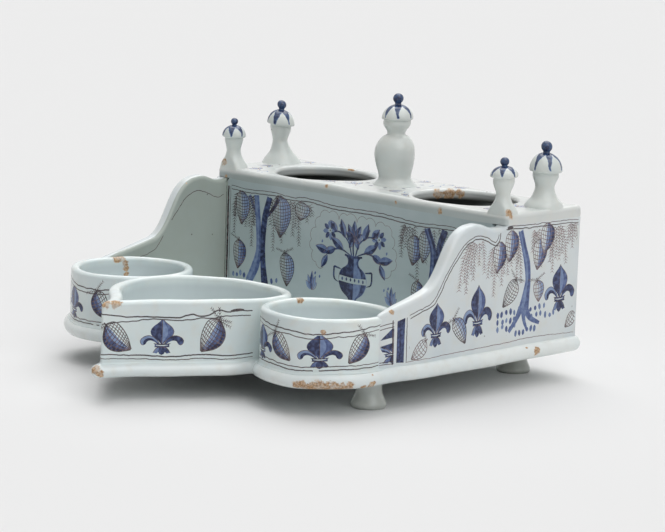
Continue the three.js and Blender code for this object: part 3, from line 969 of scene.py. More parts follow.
def glazeMaterial(kind, wearShare=0.5, grime=0.0, strokes=None, paintedShade=None):
    s = Shader(kind + "_glaze")
    where = s.node("ShaderNodeTexCoord", out=3)
    clouds, mottle, grain = (s.noise(where, *uneven[key]) for key in ("clouds", "mottle", "grain"))
    pale, cool = glazeAndLightTones[kind]
    colour = s.mix(clouds.ramp(0.35, 0.68), pale, cool)
    colour = s.mix(mottle.ramp(0.45, 0.8) * 0.4, colour, glaze["warm"])
    # painted shade where a piece asks for it: on the walls that face the tray, and on the shelf's front edge
    if paintedShade:
        for share, tone in paintedShade(s, where):
            colour = s.mix(share * (mottle * 0.3 + 0.8), colour, tone)
    wornAndShaded = s.node("ShaderNodeAttribute", {"attribute_name": "wearAndShade"}, out=2)
    # painted shade down the inside of the pans, where the wear attribute is below zero
    colour = s.mix((0 - wornAndShaded).ramp(0.0, 1.0) * 0.9, colour, glaze["panInsideShade"])
    # painted shadow inside the box
    colour = s.mix(shadeInBox(s, where) * 0.85, colour, glaze["shadeInBox"])
    if grime:
        colour = s.mix(s.noise(where, *uneven["grime"]).ramp(0.4, 0.75) * grime, colour, glaze["grime"])
    colour = inked(s, colour, where, strokes)
    # a few of the dots turn into dark specks
    dots = s.node("ShaderNodeTexVoronoi", {}, {"Vector": where, "Scale": surface["specks"]})
    chance = s.split(Wire(s, dots.out.node.outputs[1]), "ShaderNodeSeparateColor")[0]
    speck = (1 - dots.ramp(0.02, 0.075)) * chance.ramp(0.86, 0.9)
    colour = s.mix(speck * 0.8, colour, glaze["speck"])
    chipped = chippedAway(s, kind, where, wornAndShaded, wearShare, grain)
    biscuit = s.mix(grain.ramp(0.35, 0.65), glaze["biscuit"], glaze["biscuitPale"])
    colour = s.mix(chipped, colour, biscuit)
    rough = s.noise(where, *uneven["gloss"]) * 0.14 + (glaze["roughness"] - 0.07) + chipped * 0.5
    height = s.noise(where, *uneven["swell"]) * 1.0 + s.noise(where, *uneven["ripple"]) * 0.12
    height = height - speck * 0.25 - chipped * 0.35
    sockets = {"Strength": surface["tilt"], "Distance": surface["relief"], "Height": height}
    bump = s.node("ShaderNodeBump", {}, sockets)
    return s.surface({"Base Color": colour, "Roughness": rough, "Normal": bump, "IOR": surface["bends"]})


def shadeInBox(s, where):
    # painted shadow: a near-black tone on the inside of the box, seen through the openings
    x, y, z = s.split(where)
    wide, front, back = sideFace - sideWall + 0.3, boxFront + boxWall - 0.3, boxBack - boxWall + 0.3
    held = 1 - s.maths("ABSOLUTE", x).ramp(wide * mm, (wide + 0.6) * mm)
    held = held * y.ramp((front - 0.6) * mm, front * mm) * (1 - y.ramp(back * mm, (back + 0.6) * mm))
    held = held * z.ramp((floorTop - 1.4) * mm, (floorTop - 0.8) * mm)
    return held * (1 - z.ramp((wallTop + 0.8) * mm, (wallTop + 3.2) * mm))


def finialStrokes(s, where, brushed):
    # six blue strokes run down each dome from a blue knob, and narrow towards the lip
    place = s.node("ShaderNodeAttribute", {"attribute_name": "turned"}, out=1)
    x, y, climb = s.split(place)
    count = 6
    angle = s.maths("ARCTAN2", y, x) / (2 * math.pi) * count + 1.267
    angle = angle + s.noise(where, *uneven["strokes"]) * 0.5 - 0.25
    offset = s.maths("ABSOLUTE", s.maths("FRACT", angle) - 0.5)
    radius = s.maths("SQRT", x * x + y * y)
    away = offset * radius * (2 * math.pi / count)
    broad = climb * climb * 1.6 + climb * 0.9 + 0.2 + brushed * 0.5
    line = 1 - (away - broad).ramp(-0.3, 0.4)
    ends = climb.ramp(0.0, 0.1)
    knob = climb.ramp(0.9, 0.99)
    strokes = line * ends * (brushed * 0.25 + 0.75)
    return s.maths("MAXIMUM", strokes, knob * (brushed * 0.22 + 0.76))


def trayWallShade(s, where):
    # painted shade on the walls that face the pen tray, greenest on the left arm
    x, y, _ = s.split(where)
    edge = (sideFace - sideWall + 1.6) * mm
    across = s.maths("ABSOLUTE", x)
    inner = 1 - across.ramp(edge, edge + 0.6 * mm)
    inner = inner * (1 - y.ramp((boxFront + 20) * mm, (boxFront + 24) * mm))
    left = 1 - x.ramp((1.0 - sideFace + sideWall) * mm, (2.0 - sideFace + sideWall) * mm)
    return [(inner, glaze["trayShade"]), (inner * left, glaze["leftTrayShade"])]


def shelfFrontShade(s, where):
    # painted shade on the shelf's front edge, lighter towards the right
    x, y, z = s.split(where)
    front = 1 - y.ramp((boxFront + 0.6) * mm, (boxFront + 2.6) * mm)
    front = front * (1 - z.ramp((boxTop - 4.6) * mm, (boxTop - 1.9) * mm))
    return [(front, glaze["shelfEdgeShade"]), (front * x.ramp(45 * mm, 100 * mm), glaze["rightShelfEdgeShade"])]


wallGlaze = glazeMaterial("wall", paintedShade=trayWallShade)
panGlaze = glazeMaterial("pan", wearShare=0.5)
baseGlaze = glazeMaterial("base", wearShare=0.56)
topGlaze = glazeMaterial("shelf", wearShare=0.5, paintedShade=shelfFrontShade)
footGlaze = glazeMaterial("foot", wearShare=0.2, grime=0.6)
finialGlaze = glazeMaterial("finial", wearShare=0.4, strokes=finialStrokes)
print("glazes made")


# Base slab

base = {"noseRound": 4.65, "shy": 0.35, "mesh": 6.0, "soften": 6}


def makeBase():
    low, high = cadBox("base_slab")
    loop = sectionLoops("base_slab", 2, (low[2] + high[2]) / 2 + 0.02)[0]
    loop = softened(smoothLine(loop, 1.6, closed=True), base["soften"])
    loop = loop + intoClay(loop) * base["shy"]
    clay = Clay()
    axes = ((0, 0, high[2]), (1, 0, 0), (0, 1, 0), (0, 0, -1))
    slab(clay, loop, axes, high[2] - low[2], base["noseRound"], base["noseRound"], mesh=base["mesh"], steps=8)
    clay.piece("floor_slab", ["base_slab"], baseGlaze)


makeBase()


# Walls of the box and the scrolled arms. A side wall is painted by depth behind the box's front, and height.

arm = {
    "round": 3.0, "endRound": 0.25, "backEdge": 2.2, "easeIn": 2.0, "ease": 1.5, "spacing": 1.6, "sink": 0.9,
    "bendFrom": 27.0, "stretch": 7.5, "endTuck": 1.95, "panTuck": 2.9, "endDrop": 2.3, "endTop": 55, "tip": 9,
}


# What the painter drew on a side wall. A fan of twigs is where it starts and where its twigs end. A cone is
# its middle, length, width, turn, depth of shade, tone of line, size of net and number of sprigs. A lily is
# its foot, width, height and turn.
sideField = {
    "border": [(-82.8, 29), (-83.2, 51), (-81, 54.0), (-72, 57.0), (-61.7, 60.6), (-50.9, 74.9),
               (-43.3, 84.5), (-35.5, 91.9), (-26.5, 95.4), (-17.8, 93.8), (-9.5, 89.8), (-6.0, 92.6),
               (-4.6, 97.6), (-1.5, 98.8), (12, 98.5), (26, 98.3), (40.7, 98.2), (54, 98.0), (67, 97.4)],
    "gap": 1.8,
    "boughTone": 0.62,
    "boughs": (
        ((-24, 94), [(-40.5, 66.5), (-34.5, 64.5), (-28.5, 72), (-19, 75)]),
        ((-8, 89), [(-15.5, 72), (-9.6, 60.5), (-2.5, 66.4), (3, 72)]),
        ((6, 95), [(6, 77), (11.5, 69.5), (15.5, 66)]),
        ((28, 96), [(25, 84), (28, 77), (33, 74)]),
        ((46, 96.5), [(41.5, 76), (44, 69.5), (50, 77), (56.4, 74)]),
        ((60, 97.5), [(57.5, 86), (62, 83), (66.5, 88)]),
    ),
    "highCones": ((-6.3, 82.6, -8), (4.4, 88.5, -5), (30.8, 81.2, -6), (37.2, 90.5, -8)),
    "trunk": ([(13.4, 97), (17.5, 86), (20.6, 77), (21.9, 66.5), (20.6, 58), (18.6, 48)],
              [4.5, 4.6, 5.4, 4.6, 6.4, 9.5]),
    "roots": (
        ([(16.5, 50), (12.5, 43.5), (5.9, 36.2)], [5, 3.4, 2.6]),
        ([(18.5, 49), (19.3, 42), (22, 36)], [4.5, 2.8, 1.8]),
        ([(20, 50), (24.5, 43), (33.5, 38.5)], [5, 3.6, 2.2]),
    ),
    "ground": ((-5, 12, 37, 50), (25, 40, 41, 51), (38, 50, 40, 46), (11, 30, 33, 38)),
    "lilies": ((-59.2, 34.5, 25, 26.5, -1), (-22.6, 36.2, 25.5, 31.5, 1), (51.8, 43.3, 28, 29.5, 0)),
    "cones": (
        (-73.2, 34.6, 15.5, 9.2, -50, 0, 0.75, 2.1, 1), (-38.4, 41.6, 19, 10.2, 35, 0.45, 0.95, 2.1, 2),
        (5.4, 60.0, 19.5, 11, -36, 0, 0.95, 1.9, 2), (31.2, 58.4, 13.5, 9.5, 8, 0.4, 0.75, 2.1, 2),
        (62.4, 37.6, 12, 7.5, -42, 0, 0.85, 2.0, 0),
    ),
    "panLines": (53.2, 50.8, 29.8, 28.4),  # the pan's band runs on over the arm's end
    "bar": ([(-90.4, 28.8), (-90.2, 53.6)], [(-85.0, 28.4), (-84.6, 55)]),
    "barSides": (-92.4, -83.2),
    "foot": [(-82.8, 28.4), (-40, 29.2), (0, 30), (35, 30.3), (69, 29)],
    "inside": [(-82, 54.6), (-62, 59.6), (-51, 73), (-43, 82.4), (-36, 90.2), (-27, 94.6), (-18, 93),
               (-8, 88.6), (-2, 90)],
}


def paintSide(seed):
    p, f = Painting(seed), sideField
    # the boughs first, so that trunks and lilies lie over them
    paintBoughs(p, f["boughs"], f["boughTone"])
    for y, z, turn in f["highCones"]:
        paintCone(p, y, z, 19, 12.5, turn, 1.0, 0.8)
    paintTrunk(p, *f["trunk"], 0.62, 0.8)
    paintRoots(p, f["roots"], 0.72)
    paintGround(p, f["ground"])
    for place in f["lilies"]:
        paintLily(p, *place)
    for place in f["cones"]:
        paintCone(p, *place)
    paintRope(p, f["border"], f["gap"])
    p.dab(2.8, 99.7, 7.5, 1.7, 0, brown, 0.95)
    for high in f["panLines"]:
        p.stroke([(-104.2, high - 0.2), (-98, high + 0.8), (-91, high)], 0.55, brown, 0.9, ends=(1, 1))
    # half a lily is cut off by the upright blue bar
    paintLily(p, -91.8, 28.6, 22, 21.4, blunt=0.35, petal=0.28)
    p.at(0, 0)
    p.wash([(-91.8, 27.6), (-91.8, 56)], [(-80.8, 27.6), (-80.8, 56)], bare)
    p.wash(*f["bar"], blue, [0.98, 0.85, 1.0])
    p.wash([(-88.8, 32), (-88.9, 51)], [(-87.4, 32), (-87.3, 51)], blue, 1.0)
    for y in f["barSides"]:
        paintLine(p, [(y, 28), (y + 0.1, 42), (y, 55.0)], 0.6, 1.0, 0.06)
    paintLine(p, f["foot"])
    return p.bands


def paintArmInside(seed):
    p = Painting(seed)
    p.stroke(sideField["inside"], 0.5, brown, 0.8, ends=(0.5, 0.7), wobble=0.12)
    return p.bands


def makeSideWall(side, name, node, seed):
    end = cadBox(node)[0][1]
    loop = sectionLoops(node, 0, side * (sideFace - arm["round"] - 0.1))[0]
    loop = softened(smoothLine(loop, arm["spacing"], closed=True), 1)
    loop[:, 0] -= boxFront
    easeIn, ease = arm["easeIn"], arm["ease"]
    onBox = np.clip((loop[:, 0] + easeIn) / easeIn, 0, 1)
    atBack = np.clip((loop[:, 0] - boxDepth + ease) / ease, 0, 1)
    atFoot = np.clip((floorTop + 1 + ease - loop[:, 1]) / ease, 0, 1)
    atEnd = np.clip((end - boxFront + easeIn - loop[:, 0]) / ease, 0, 1)
    rounding = arm["round"] * (1 - onBox) * (1 - atFoot)
    rounding = rounding + (arm["endRound"] - rounding) * atEnd * (loop[:, 1] < arm["endTop"])
    frontRound = np.maximum(rounding, arm["backEdge"] * atBack)
    loop[:, 1] -= arm["sink"] * atFoot
    clay = Clay()
    axes = ((side * sideFace, boxFront, 0), (0, 1, 0), (0, 0, 1), (-side, 0, 0))
    slab(clay, loop, axes, sideWall, frontRound, rounding, paintSide(seed), paintArmInside(seed + 1))

    def shape(p):
        # the arm's end thins and runs out flush with the pan's curve
        q = p.copy()
        ahead = np.clip((end + arm["bendFrom"] - p[:, 1]) / arm["bendFrom"], 0, 1)
        ahead = ahead * ahead * (3 - 2 * ahead)
        depth = np.clip((sideFace - side * p[:, 0]) / sideWall, 0, 1)
        tip = np.clip((end + arm["tip"] - p[:, 1]) / arm["tip"], 0, 1) ** 1.6
        q[:, 1] -= tip * arm["stretch"]
        q[:, 0] -= side * (1 - depth) * arm["endTuck"] * ahead
        q[:, 0] += side * depth * arm["panTuck"] * tip
        q[:, 2] -= tip * arm["endDrop"] * np.clip((p[:, 2] - floorTop) / 30, 0, 1)
        return q

    clay.piece(name, [node], wallGlaze, shape)


frontField = {
    "border": [(-111, 94.5), (-95, 94.2), (-72, 94.6), (-55, 93.6), (-43, 94.4), (-20, 92.5), (-2, 93.0),
               (14, 93.4), (37, 92.4), (55, 91.6), (80, 92.6), (111, 93.2)],
    "gap": 2.1,
    "boughTone": 0.98,
    "boughs": (
        ((-101, 93), [(-108.5, 78), (-107.6, 67), (-101, 74), (-96, 78)]),
        ((-90, 93), [(-97, 72), (-91.4, 60), (-88.5, 74)]),
        ((-71, 93), [(-79, 72), (-71.5, 60), (-64, 66), (-61, 72)]),
        ((-56, 92.5), [(-61, 78), (-54, 72), (-48.4, 66)]),
        ((-44, 92), [(-48, 86), (-42, 82), (-38, 86)]),
        ((47, 91), [(39.5, 78), (40.5, 71.5), (47, 77), (54, 60.5)]),
        ((66, 91), [(56, 74), (60.5, 70), (75, 72), (83, 66)]),
        ((96, 92), [(86, 76), (93, 66), (101, 70), (108, 62)]),
    ),
    "highCones": (
        (-101.2, 83.6, 22, 12.5, 2, 0.5), (-66.3, 82, 27, 17, 4, 0.55), (-47.6, 87.6, 12, 12.5, -6, 0.25),
        (50.4, 76, 19, 12.5, -3, 0.85), (58.5, 79, 20, 10, -3, 0.3), (86, 82, 21, 14, 4, 0.6),
        (103, 84, 18, 12, 0, 0.5),
    ),
    "leftTrunks": (
        ([(-87.4, 93.4), (-85.2, 74), (-84.6, 58), (-87.4, 47), (-93.5, 36)],
         [4.2, 4.6, 4.8, 7, 6], 0.58, 0.72),
        ([(-75.6, 93), (-79.6, 79), (-80.8, 62), (-80.3, 49), (-78.5, 36)],
         [4.6, 5.2, 4.4, 5, 6.4], 0.95, 1.0),
    ),
    "limbs": (
        ([(-94, 92.6), (-90, 86), (-86.4, 79)], [2.8, 2.4, 1.6], blue, 0.62),
        ([(-67.7, 93.2), (-72, 86.5), (-77.4, 80.6)], [3.2, 2.6, 1.8], blue, 0.98),
    ),
    "rightTrunks": (
        ([(61.2, 91), (66.2, 79), (66.8, 66), (65.2, 54), (61, 38)], [5, 5, 5.4, 6, 8], 0.72, 1.0),
        ([(76, 91.6), (71.5, 80), (71, 64), (73, 50), (78, 38)], [5, 4.6, 5, 6, 8], 0.98, 1.0),
    ),
    "ground": ((-108, -94, 36, 43), (-74, -64, 36, 43), (84, 106, 36, 44)),
    "cones": (
        (-103.4, 52.6, 19.5, 11.5, -3, 0.8, 0.9, 1.9, 1), (-59.4, 48.6, 22, 12.6, 5, 0.5, 1.0, 1.9, 2),
        (53.6, 49.4, 16, 10.5, -10, 1.0, 0.95, 2.0, 1), (93, 52, 21, 12, 3, 0.6, 0.95, 2.0, 2),
    ),
    "leftLines": ((-115.8, 0.45), (-114.0, 1.75), (-112.0, 0.45)),  # place and width
    "rightLines": ((114.4, 0.35), (113, 0.7)),
    "foot": [(-110, 29.6), (0, 29), (110, 29.8)],
}
# a vase of flowers in a lobed frame between the trees
vase = {
    "frame": [(-36, 64), (-37.5, 71), (-34, 79), (-31, 86), (-23, 89.5), (-14, 86.5), (-7, 90.2), (2, 87),
              (10, 90), (18, 86.5), (26, 88), (32, 82.5), (33, 75), (36, 68), (33, 61), (26, 56.5)],
    "frameEnd": [(-36, 64), (-33, 57), (-26, 55)],
    "body": [(-4.4, 34), (-3.2, 37.5), (-9.4, 42.5), (-12.2, 49), (-10.6, 55.5), (-5.2, 59.4), (-4.6, 62.6),
             (-7.2, 65.4)],
    "belt": ([(-11.6, 52.2), (0, 51.4), (11.6, 52.2)], [(-12.1, 48.6), (0, 47.8), (12.1, 48.6)]),
    "beads": (-9, -5.4, -1.8, 1.8, 5.4, 9),
    "lip": [(-7.6, 65.4), (0, 64.6), (7.6, 65.4)],
    "handle": [(10.6, 56), (16.5, 57), (16, 49.5), (12, 47.4)],
    "highStem": [(1.5, 65), (5, 74), (13, 79), (20, 77.5)],
    "lowStem": [(2.5, 65.5), (12, 68.5), (21, 65.5), (26, 60.5)],
    # foot, length, width and turn of each leaf
    "leaves": ((8, 76, 12, 5.4, -20), (15, 79, 9, 4.6, -48), (9, 68.5, 13, 5.6, -62), (16, 68, 11, 5, -110),
               (22, 65, 12, 5.4, -78), (23, 63, 10, 4.6, -150), (4, 70, 9, 4, 24)),
    "leafTones": {-1: (0.98, 0.62), 1: (0.66, 0.98)},
    "midStem": [(0, 65), (-0.6, 71), (0, 77)],
    "crown": ((-52, 9), (52, 9), (-28, 12), (28, 12), (0, 13.5)),  # turn and length of the middle leaves
    "dots": ((-33, 50), (-29, 48.5), (31, 49.5), (27.5, 48), (-13, 83), (13, 83), (-28, 71), (28.5, 71)),
    "tufts": ((-35.9, 39), (33.6, 39)),
    # turn, length and tone
    "tuft": ((-42, 7, 0.45), (-20, 10, 0.62), (0, 12, 0.8), (22, 10, 0.62), (46, 7.5, 0.45)),
}


def paintVase(p):
    p.at(0, 0)
    paintScallops(p, vase["frame"], -0.32, 0.3, 0.75)
    paintScallops(p, vase["frameEnd"], 0.32, 0.3, 0.75)
    body = vase["body"]
    p.wash(body, [(0.5, z) for _, z in body], blue, 1.0)
    p.wash([(0.5, z) for _, z in body], flipped(body), blue, 0.62)
    p.wash([(-x * 0.62, z) for x, z in body], [(-x * 0.95, z) for x, z in body], blue, 0.9)
    p.wash(*vase["belt"], bare)
    for x in vase["beads"]:
        p.dab(x, 50.1, 2.4, 1.5, 90, blue, 0.9)
    p.stroke(vase["lip"], 1.3, blue, 1.0, ends=(1, 1))
    for side in (-1, 1):
        handle, highStem, lowStem = (
            [(side * x, z) for x, z in vase[key]] for key in ("handle", "highStem", "lowStem")
        )
        p.at(0, 0)
        p.stroke(handle, 1.4, blue, 0.98)
        p.stroke(highStem, 1.1, blue, 0.95, ends=(1, 0.6))
        p.stroke(lowStem, 1.2, blue, 0.95)
        for x, z, long, wide, turn in vase["leaves"]:
            paintLeaf(p, side * x, z, long, wide, turn * side, vase["leafTones"][side])
        paintBlossom(p, side * 21.5, 78.6, 11.5, 8, 10)
    p.at(0, 0)
    p.stroke(vase["midStem"], 1.3, blue, 1.0, ends=(1, 1))
    for turn, long in vase["crown"]:
        paintLeaf(p, 0, 74.5, long, 5.4, turn, (0.95, 0.6))
    p.at(0, 0)
    for x, z in vase["dots"]:
        p.dab(x, z, 2.2, 1.4, 70, blue, 0.7)
    # the low tufts beside it
    for x, z in vase["tufts"]:
        for lean, long, tone in vase["tuft"]:
            paintLeaf(p, x, z, long, 3.4, lean, (tone, tone * 0.75))


def paintFront(seed):
    p, f = Painting(seed), frontField
    paintBoughs(p, f["boughs"], f["boughTone"])
    for place in f["highCones"]:
        paintCone(p, *place, 0.98, mesh=1.9)
    for trunk in f["leftTrunks"]:
        paintTrunk(p, *trunk)
    for limb in f["limbs"]:
        p.stroke(*limb)
    for trunk in f["rightTrunks"]:
        paintTrunk(p, *trunk)
    paintGround(p, f["ground"])
    for place in f["cones"]:
        paintCone(p, *place)
    paintVase(p)
    paintRope(p, f["border"], f["gap"])
    for x, wide in f["leftLines"]:
        paintLine(p, [(x, 29), (x + 0.3, 60), (x, 96)], wide, 0.95)
    for x, wide in f["rightLines"]:
        paintLine(p, [(x, 29), (x - 0.3, 60), (x, 95)], wide, 0.9)
    paintLine(p, f["foot"])
    return p.bands


# the back carries the same field as the sides, laid out on its own
backField = {
    "border": [(-118, 97), (-60, 96.4), (0, 97.4), (60, 96.2), (118, 97)],
    "gap": -2.2,
    "boughTone": 0.66,
    "boughs": (
        ((-84, 93), [(-101, 72), (-92, 64), (-84, 70), (-76, 74)]),
        ((-62, 93), [(-72, 76), (-64, 66), (-54, 72)]),
        ((-8, 93), [(-18, 76), (-10, 66), (0, 70)]),
        ((14, 93), [(6, 78), (13, 66), (22, 72)]),
        ((60, 93), [(50, 74), (58, 64), (68, 70)]),
        ((88, 93), [(78, 76), (88, 66), (100, 72)]),
    ),
    "highCones": ((-94, 82), (-58, 84), (-20, 83), (24, 84), (54, 82), (96, 82)),
    "trees": (-74, 2, 74),
    "trunk": ([(-3, 95), (1, 82), (2, 68), (0, 50)], [4.4, 4.8, 4.8, 9]),
    "roots": (
        ([(-2, 52), (-6, 44), (-12, 37)], [5, 3.4, 2.4]), ([(0, 51), (1, 43), (3, 36)], [4.4, 3, 2]),
        ([(2, 52), (8, 44), (15, 38)], [5, 3.6, 2.2]),
    ),
    "ground": ((-22, -8, 37, 50), (8, 22, 37, 48)),
    "lilies": ((-38, 24), (38, 24), (-106, 15), (106, 15)),  # place and width
    "cones": ((-54, -35), (-22, 35), (22, -36), (56, 34)),  # place and turn
    "sideLines": (-115, 115),
    "foot": [(-118, 29.4), (0, 29), (118, 29.6)],
}


def paintBack(seed):
    p, f = Painting(seed), backField
    paintBoughs(p, f["boughs"], f["boughTone"])
    for x, z in f["highCones"]:
        paintCone(p, x, z, 19, 12.5, p.hand.uniform(-8, 8), 1.0, 0.85)
    for x in f["trees"]:
        points, widths = f["trunk"]
        paintTrunk(p, [(x + dx, z) for dx, z in points], widths, 0.52, 0.7)
        paintRoots(p, [([(x + dx, z) for dx, z in points], widths) for points, widths in f["roots"]], 0.6)
        paintGround(p, [(x + left, x + right, low, high) for left, right, low, high in f["ground"]])
    for x, wide in f["lilies"]:
        paintLily(p, x, 38, wide, 29, p.hand.uniform(-2, 2))
    for x, turn in f["cones"]:
        paintCone(p, x, 60, 18, 10, turn, 0.4, 0.95, 2.1, 2)
    paintRope(p, f["border"], f["gap"])
    paintLine(p, f["foot"])
    for x in f["sideLines"]:
        paintLine(p, [(x, 30), (x, 95)], 0.5, 0.9)
    return p.bands


def makeCrossWall(name, node, bands):
    ahead = node == "box_front_wall"
    outer, deep = (boxFront, 1) if ahead else (boxBack, -1)
    reach = sideFace - sideWall
    foot = floorTop - arm["sink"] + 0.3
    loop = smoothLine([(-reach, foot), (reach, foot), (reach, wallTop), (-reach, wallTop)], 6, closed=True)
    clay = Clay()
    axes = ((0, outer, 0), (1, 0, 0), (0, 0, 1), (0, deep, 0))
    slab(clay, loop, axes, boxWall, 0.0, 0.0, bands, steps=1)
    clay.piece(name, [node], wallGlaze)


top = {"edge": 2.9, "corner": 2.4, "rim": 2.6, "under": 1.5, "mesh": 3.2, "spacing": 1.5, "holeSpacing": 1.4}
# thin leafy sprays and curls between the openings, each a place and a turn, and dots round the middle finial
topField = {
    "sprays": ((-98, 12, 80), (-99, 60, 70), (-30, 60.5, 95), (-29, 10, 80), (29, 61, -95), (30, 10.5, -80),
               (6, 61.5, 95), (97, 11, -70), (96, 60, -95), (-14, 15, 60), (16, 13, -60), (-60, 4.8, 90),
               (60, 4.8, -90), (-60, 66.4, 90), (60, 66.4, -90), (-106, 30, 175), (106, 30, 5)),
    "leaves": (-38, 0, 38), "long": (8.5, 11.5), "wide": 0.36,
    "leafEdge": [(0, 0), (0.42, 0.35), (0.3, 0.75), (0, 1)],
    "vein": [(0, 0.12), (0.05, 0.5), (0, 0.85)],
    "stalk": [(0, 0), (-2, -4), (1, -8)],
    "line": 0.6, "tone": 0.6,
    "curls": ((15, 50, -60), (18, 58, -40), (-14, 54, 60), (24, 20, -110), (-20, 22, 110), (88, 64, -80),
              (-86, 8, 95)),
    "curl": [(0, 0), (3, 4), (1.5, 8.5), (-2, 8), (-1.4, 5.4)],
    "tendril": [(1.4, 1.5), (-2.4, 3.2), (-4.2, 1.4)],
    "dots": 9, "dotTurn": 12, "dotRing": 17.5, "ringMiddle": 35.6,
}


def paintTop(seed):
    p, f = Painting(seed), topField
    for x, y, turn in f["sprays"]:
        for lean in f["leaves"]:
            long = p.hand.uniform(*f["long"])
            p.at(x, y, turn + lean, long * f["wide"], long)
            for edge in (flipped(f["leafEdge"]), f["leafEdge"]):
                p.stroke(edge, f["line"], brown, f["tone"], ends=(1, 0.6))
            p.stroke(f["vein"], 1.5, blue, 0.5)
        p.at(x, y, turn)
        p.stroke(f["stalk"], f["line"], brown, f["tone"])
    for place in f["curls"]:
        p.at(*place)
        p.stroke(f["curl"], 0.9, blue, 0.5, ends=(0.4, 0.6))
        p.stroke(f["tendril"], 0.8, blue, 0.45, ends=(0.4, 0.6))
    p.at(0, 0)
    for i in range(f["dots"]):
        turn = i * 360 / f["dots"] + f["dotTurn"]
        a = math.radians(turn)
        x, y = f["dotRing"] * math.cos(a), f["ringMiddle"] + f["dotRing"] * math.sin(a)
        p.dab(x, y, 3.4, 2.5, turn, blue, 0.95)
    return p.bands


def makeTop(bands):
    low, high = cadBox("box_top")
    loops = sectionLoops("box_top", 2, (low[2] + high[2]) / 2 - 1.5)
    c, w, d = top["corner"], sideFace, boxDepth
    turns = np.linspace(0, math.pi / 2, 6)
    corners = [(w - c, c, -1), (w - c, d - c, 0), (c - w, d - c, 1), (c - w, c, 2)]
    loop = np.array([
        (x + c * math.cos(t + k * math.pi / 2), y + c * math.sin(t + k * math.pi / 2))
        for x, y, k in corners for t in turns
    ])
    loop = evenly(loop, top["spacing"], closed=True)
    holes = []
    for hole in loops[1:]:
        hole = softened(smoothLine(hole, top["holeSpacing"], closed=True), 2)[::-1]
        holes.append(hole - [0, boxFront])
    clay = Clay()
    axes = ((0, boxFront, high[2]), (1, 0, 0), (0, 1, 0), (0, 0, -1))
    rounds = [top["edge"]] + [top["rim"]] * len(holes)
    under = [0.0] + [top["under"]] * len(holes)
    slab(clay, loop, axes, high[2] - wallTop, rounds, under, bands, holes=holes, mesh=top["mesh"])
    clay.piece("pot_shelf", ["box_top"], topGlaze)


# Pans; their painting goes by the run round the outside from the back, and height

pan = {"grow": 0.3, "rim": 2.3, "foot": 1.3, "spacing": 1.5, "mesh": 2.6, "soften": 4, "under": 0.8}
rimSteps = 15
# by the angle about a round pan's middle, with the front at -90 degrees; 1 is the right pan and -1 the left
roundField = {
    1: {
        "upper": [(-150, 52), (-128, 52.6), (-112, 51.4), (-98, 50.4), (-80, 50.4), (-66, 49.2), (-54, 49.0),
                  (-42, 49.8), (-24, 50.6), (-8, 52.4), (6, 53), (24, 54.2)],
        "lower": [(-150, 29.2), (-112, 29.6), (-92, 29), (-70, 28.6), (-53, 28.4), (-30, 28.6), (-8, 29),
                  (20, 29.4)],
        "lilies": ((-53, 29.4, 26.5), (-120, 29.8, 22)),  # angle, height and width
        # angle, height, shaded side, turn, length and width
        "cones": ((-90, 40.4, -1, 42, 18.5, 12), (-19, 40.4, 1, -33, 19.5, 12)),
    },
    -1: {
        "upper": [(-200, 53), (-170, 52), (-150, 51.4), (-128, 52.2), (-112, 50.6), (-98, 49.4), (-73, 49.0),
                  (-54, 50), (-30, 50.4), (-10, 51)],
        "lower": [(-200, 29), (-150, 28.8), (-104, 28.5), (-73, 28.3), (-40, 28.4), (-10, 28.6)],
        "lilies": ((-109, 29, 22), (-163, 29, 24), (-30, 29, 24)),
        "cones": ((-69, 40.2, -1, 30, 18, 12), (-135, 40, 1, -32, 18, 11.5), (-192, 40, -1, 32, 18, 11.5)),
    },
}


def paintRoundPan(seed, radius, side):
    p, f = Painting(seed), roundField[side]

    def run(angle):
        return math.radians((angle - 90) % 360) * radius

    for angle, z, width in f["lilies"]:
        paintLily(p, run(angle), z, width, 19.2, blunt=0.35, petal=0.285)
    for angle, z, shade, turn, long, wide in f["cones"]:
        paintCone(p, run(angle), z, long, wide, turn, 1.0, 0.9, 2.0, 2, shade)
    for key, gap in (("upper", -2.5), ("lower", 2.0)):
        paintRope(p, [(run(a), z) for a, z in f[key]], gap)
    return p


# the flank to the right of the beak; the other flank mirrors it with its own wobble
beakField = {
    # the band's lines, each with its width and tone, and the last a second time lower down
    "lines": (
        ([(175.6, 51.6), (183, 51), (192, 49.6), (203, 49.6), (212, 49), (222, 48.8), (229, 50.8),
          (234, 49.6), (239, 49.8), (244.7, 52.8), (251, 51.8), (258, 52.4), (267, 52.2)], 0.75, 1.0),
        ([(176.5, 45.8), (184, 46.4), (194, 47), (203.5, 48), (214, 47.6), (224, 47.2), (234, 48.4),
          (241, 48.2), (252, 49.4), (266, 49.4)], 0.6, 1.0),
        ([(175.8, 28.2), (192, 27.2), (210, 26.4), (222, 26.2), (234, 26.8), (250, 26.2), (268, 26.6)],
         0.7, 1.0),
    ),
    "lowest": (2.0, 0.55, 0.95),
}


def paintPointedPan(seed, tip):
    p = Painting(seed)
    for flank in (1, -1):
        def way(s, z):
            return (s if flank > 0 else 2 * tip - s), beforeSag(z)

        paintCone(p, *way(186.6, 37.9), 20, 13.4, 50 * flank, 1.0, 0.9, 1.9, 1, -flank)
        paintLily(p, *way(212.3, 27.0), 25.5, 17.6, blunt=0.2, petal=0.27)
        paintCone(p, *way(240.4, 38.0), 19, 14.5, -33 * flank, 1.0, 0.9, 1.9, 4, flank)
        for points, width, tone in beakField["lines"]:
            line = [way(s, z) for s, z in points]
            paintLine(p, line, width, tone)
        drop, width, tone = beakField["lowest"]
        paintLine(p, [(s, z - drop) for s, z in line], width, tone)
        if flank > 0:
            p.dab(*way(257, 52.8), 9, 1.5, 4, brown, 1.0)
    return p


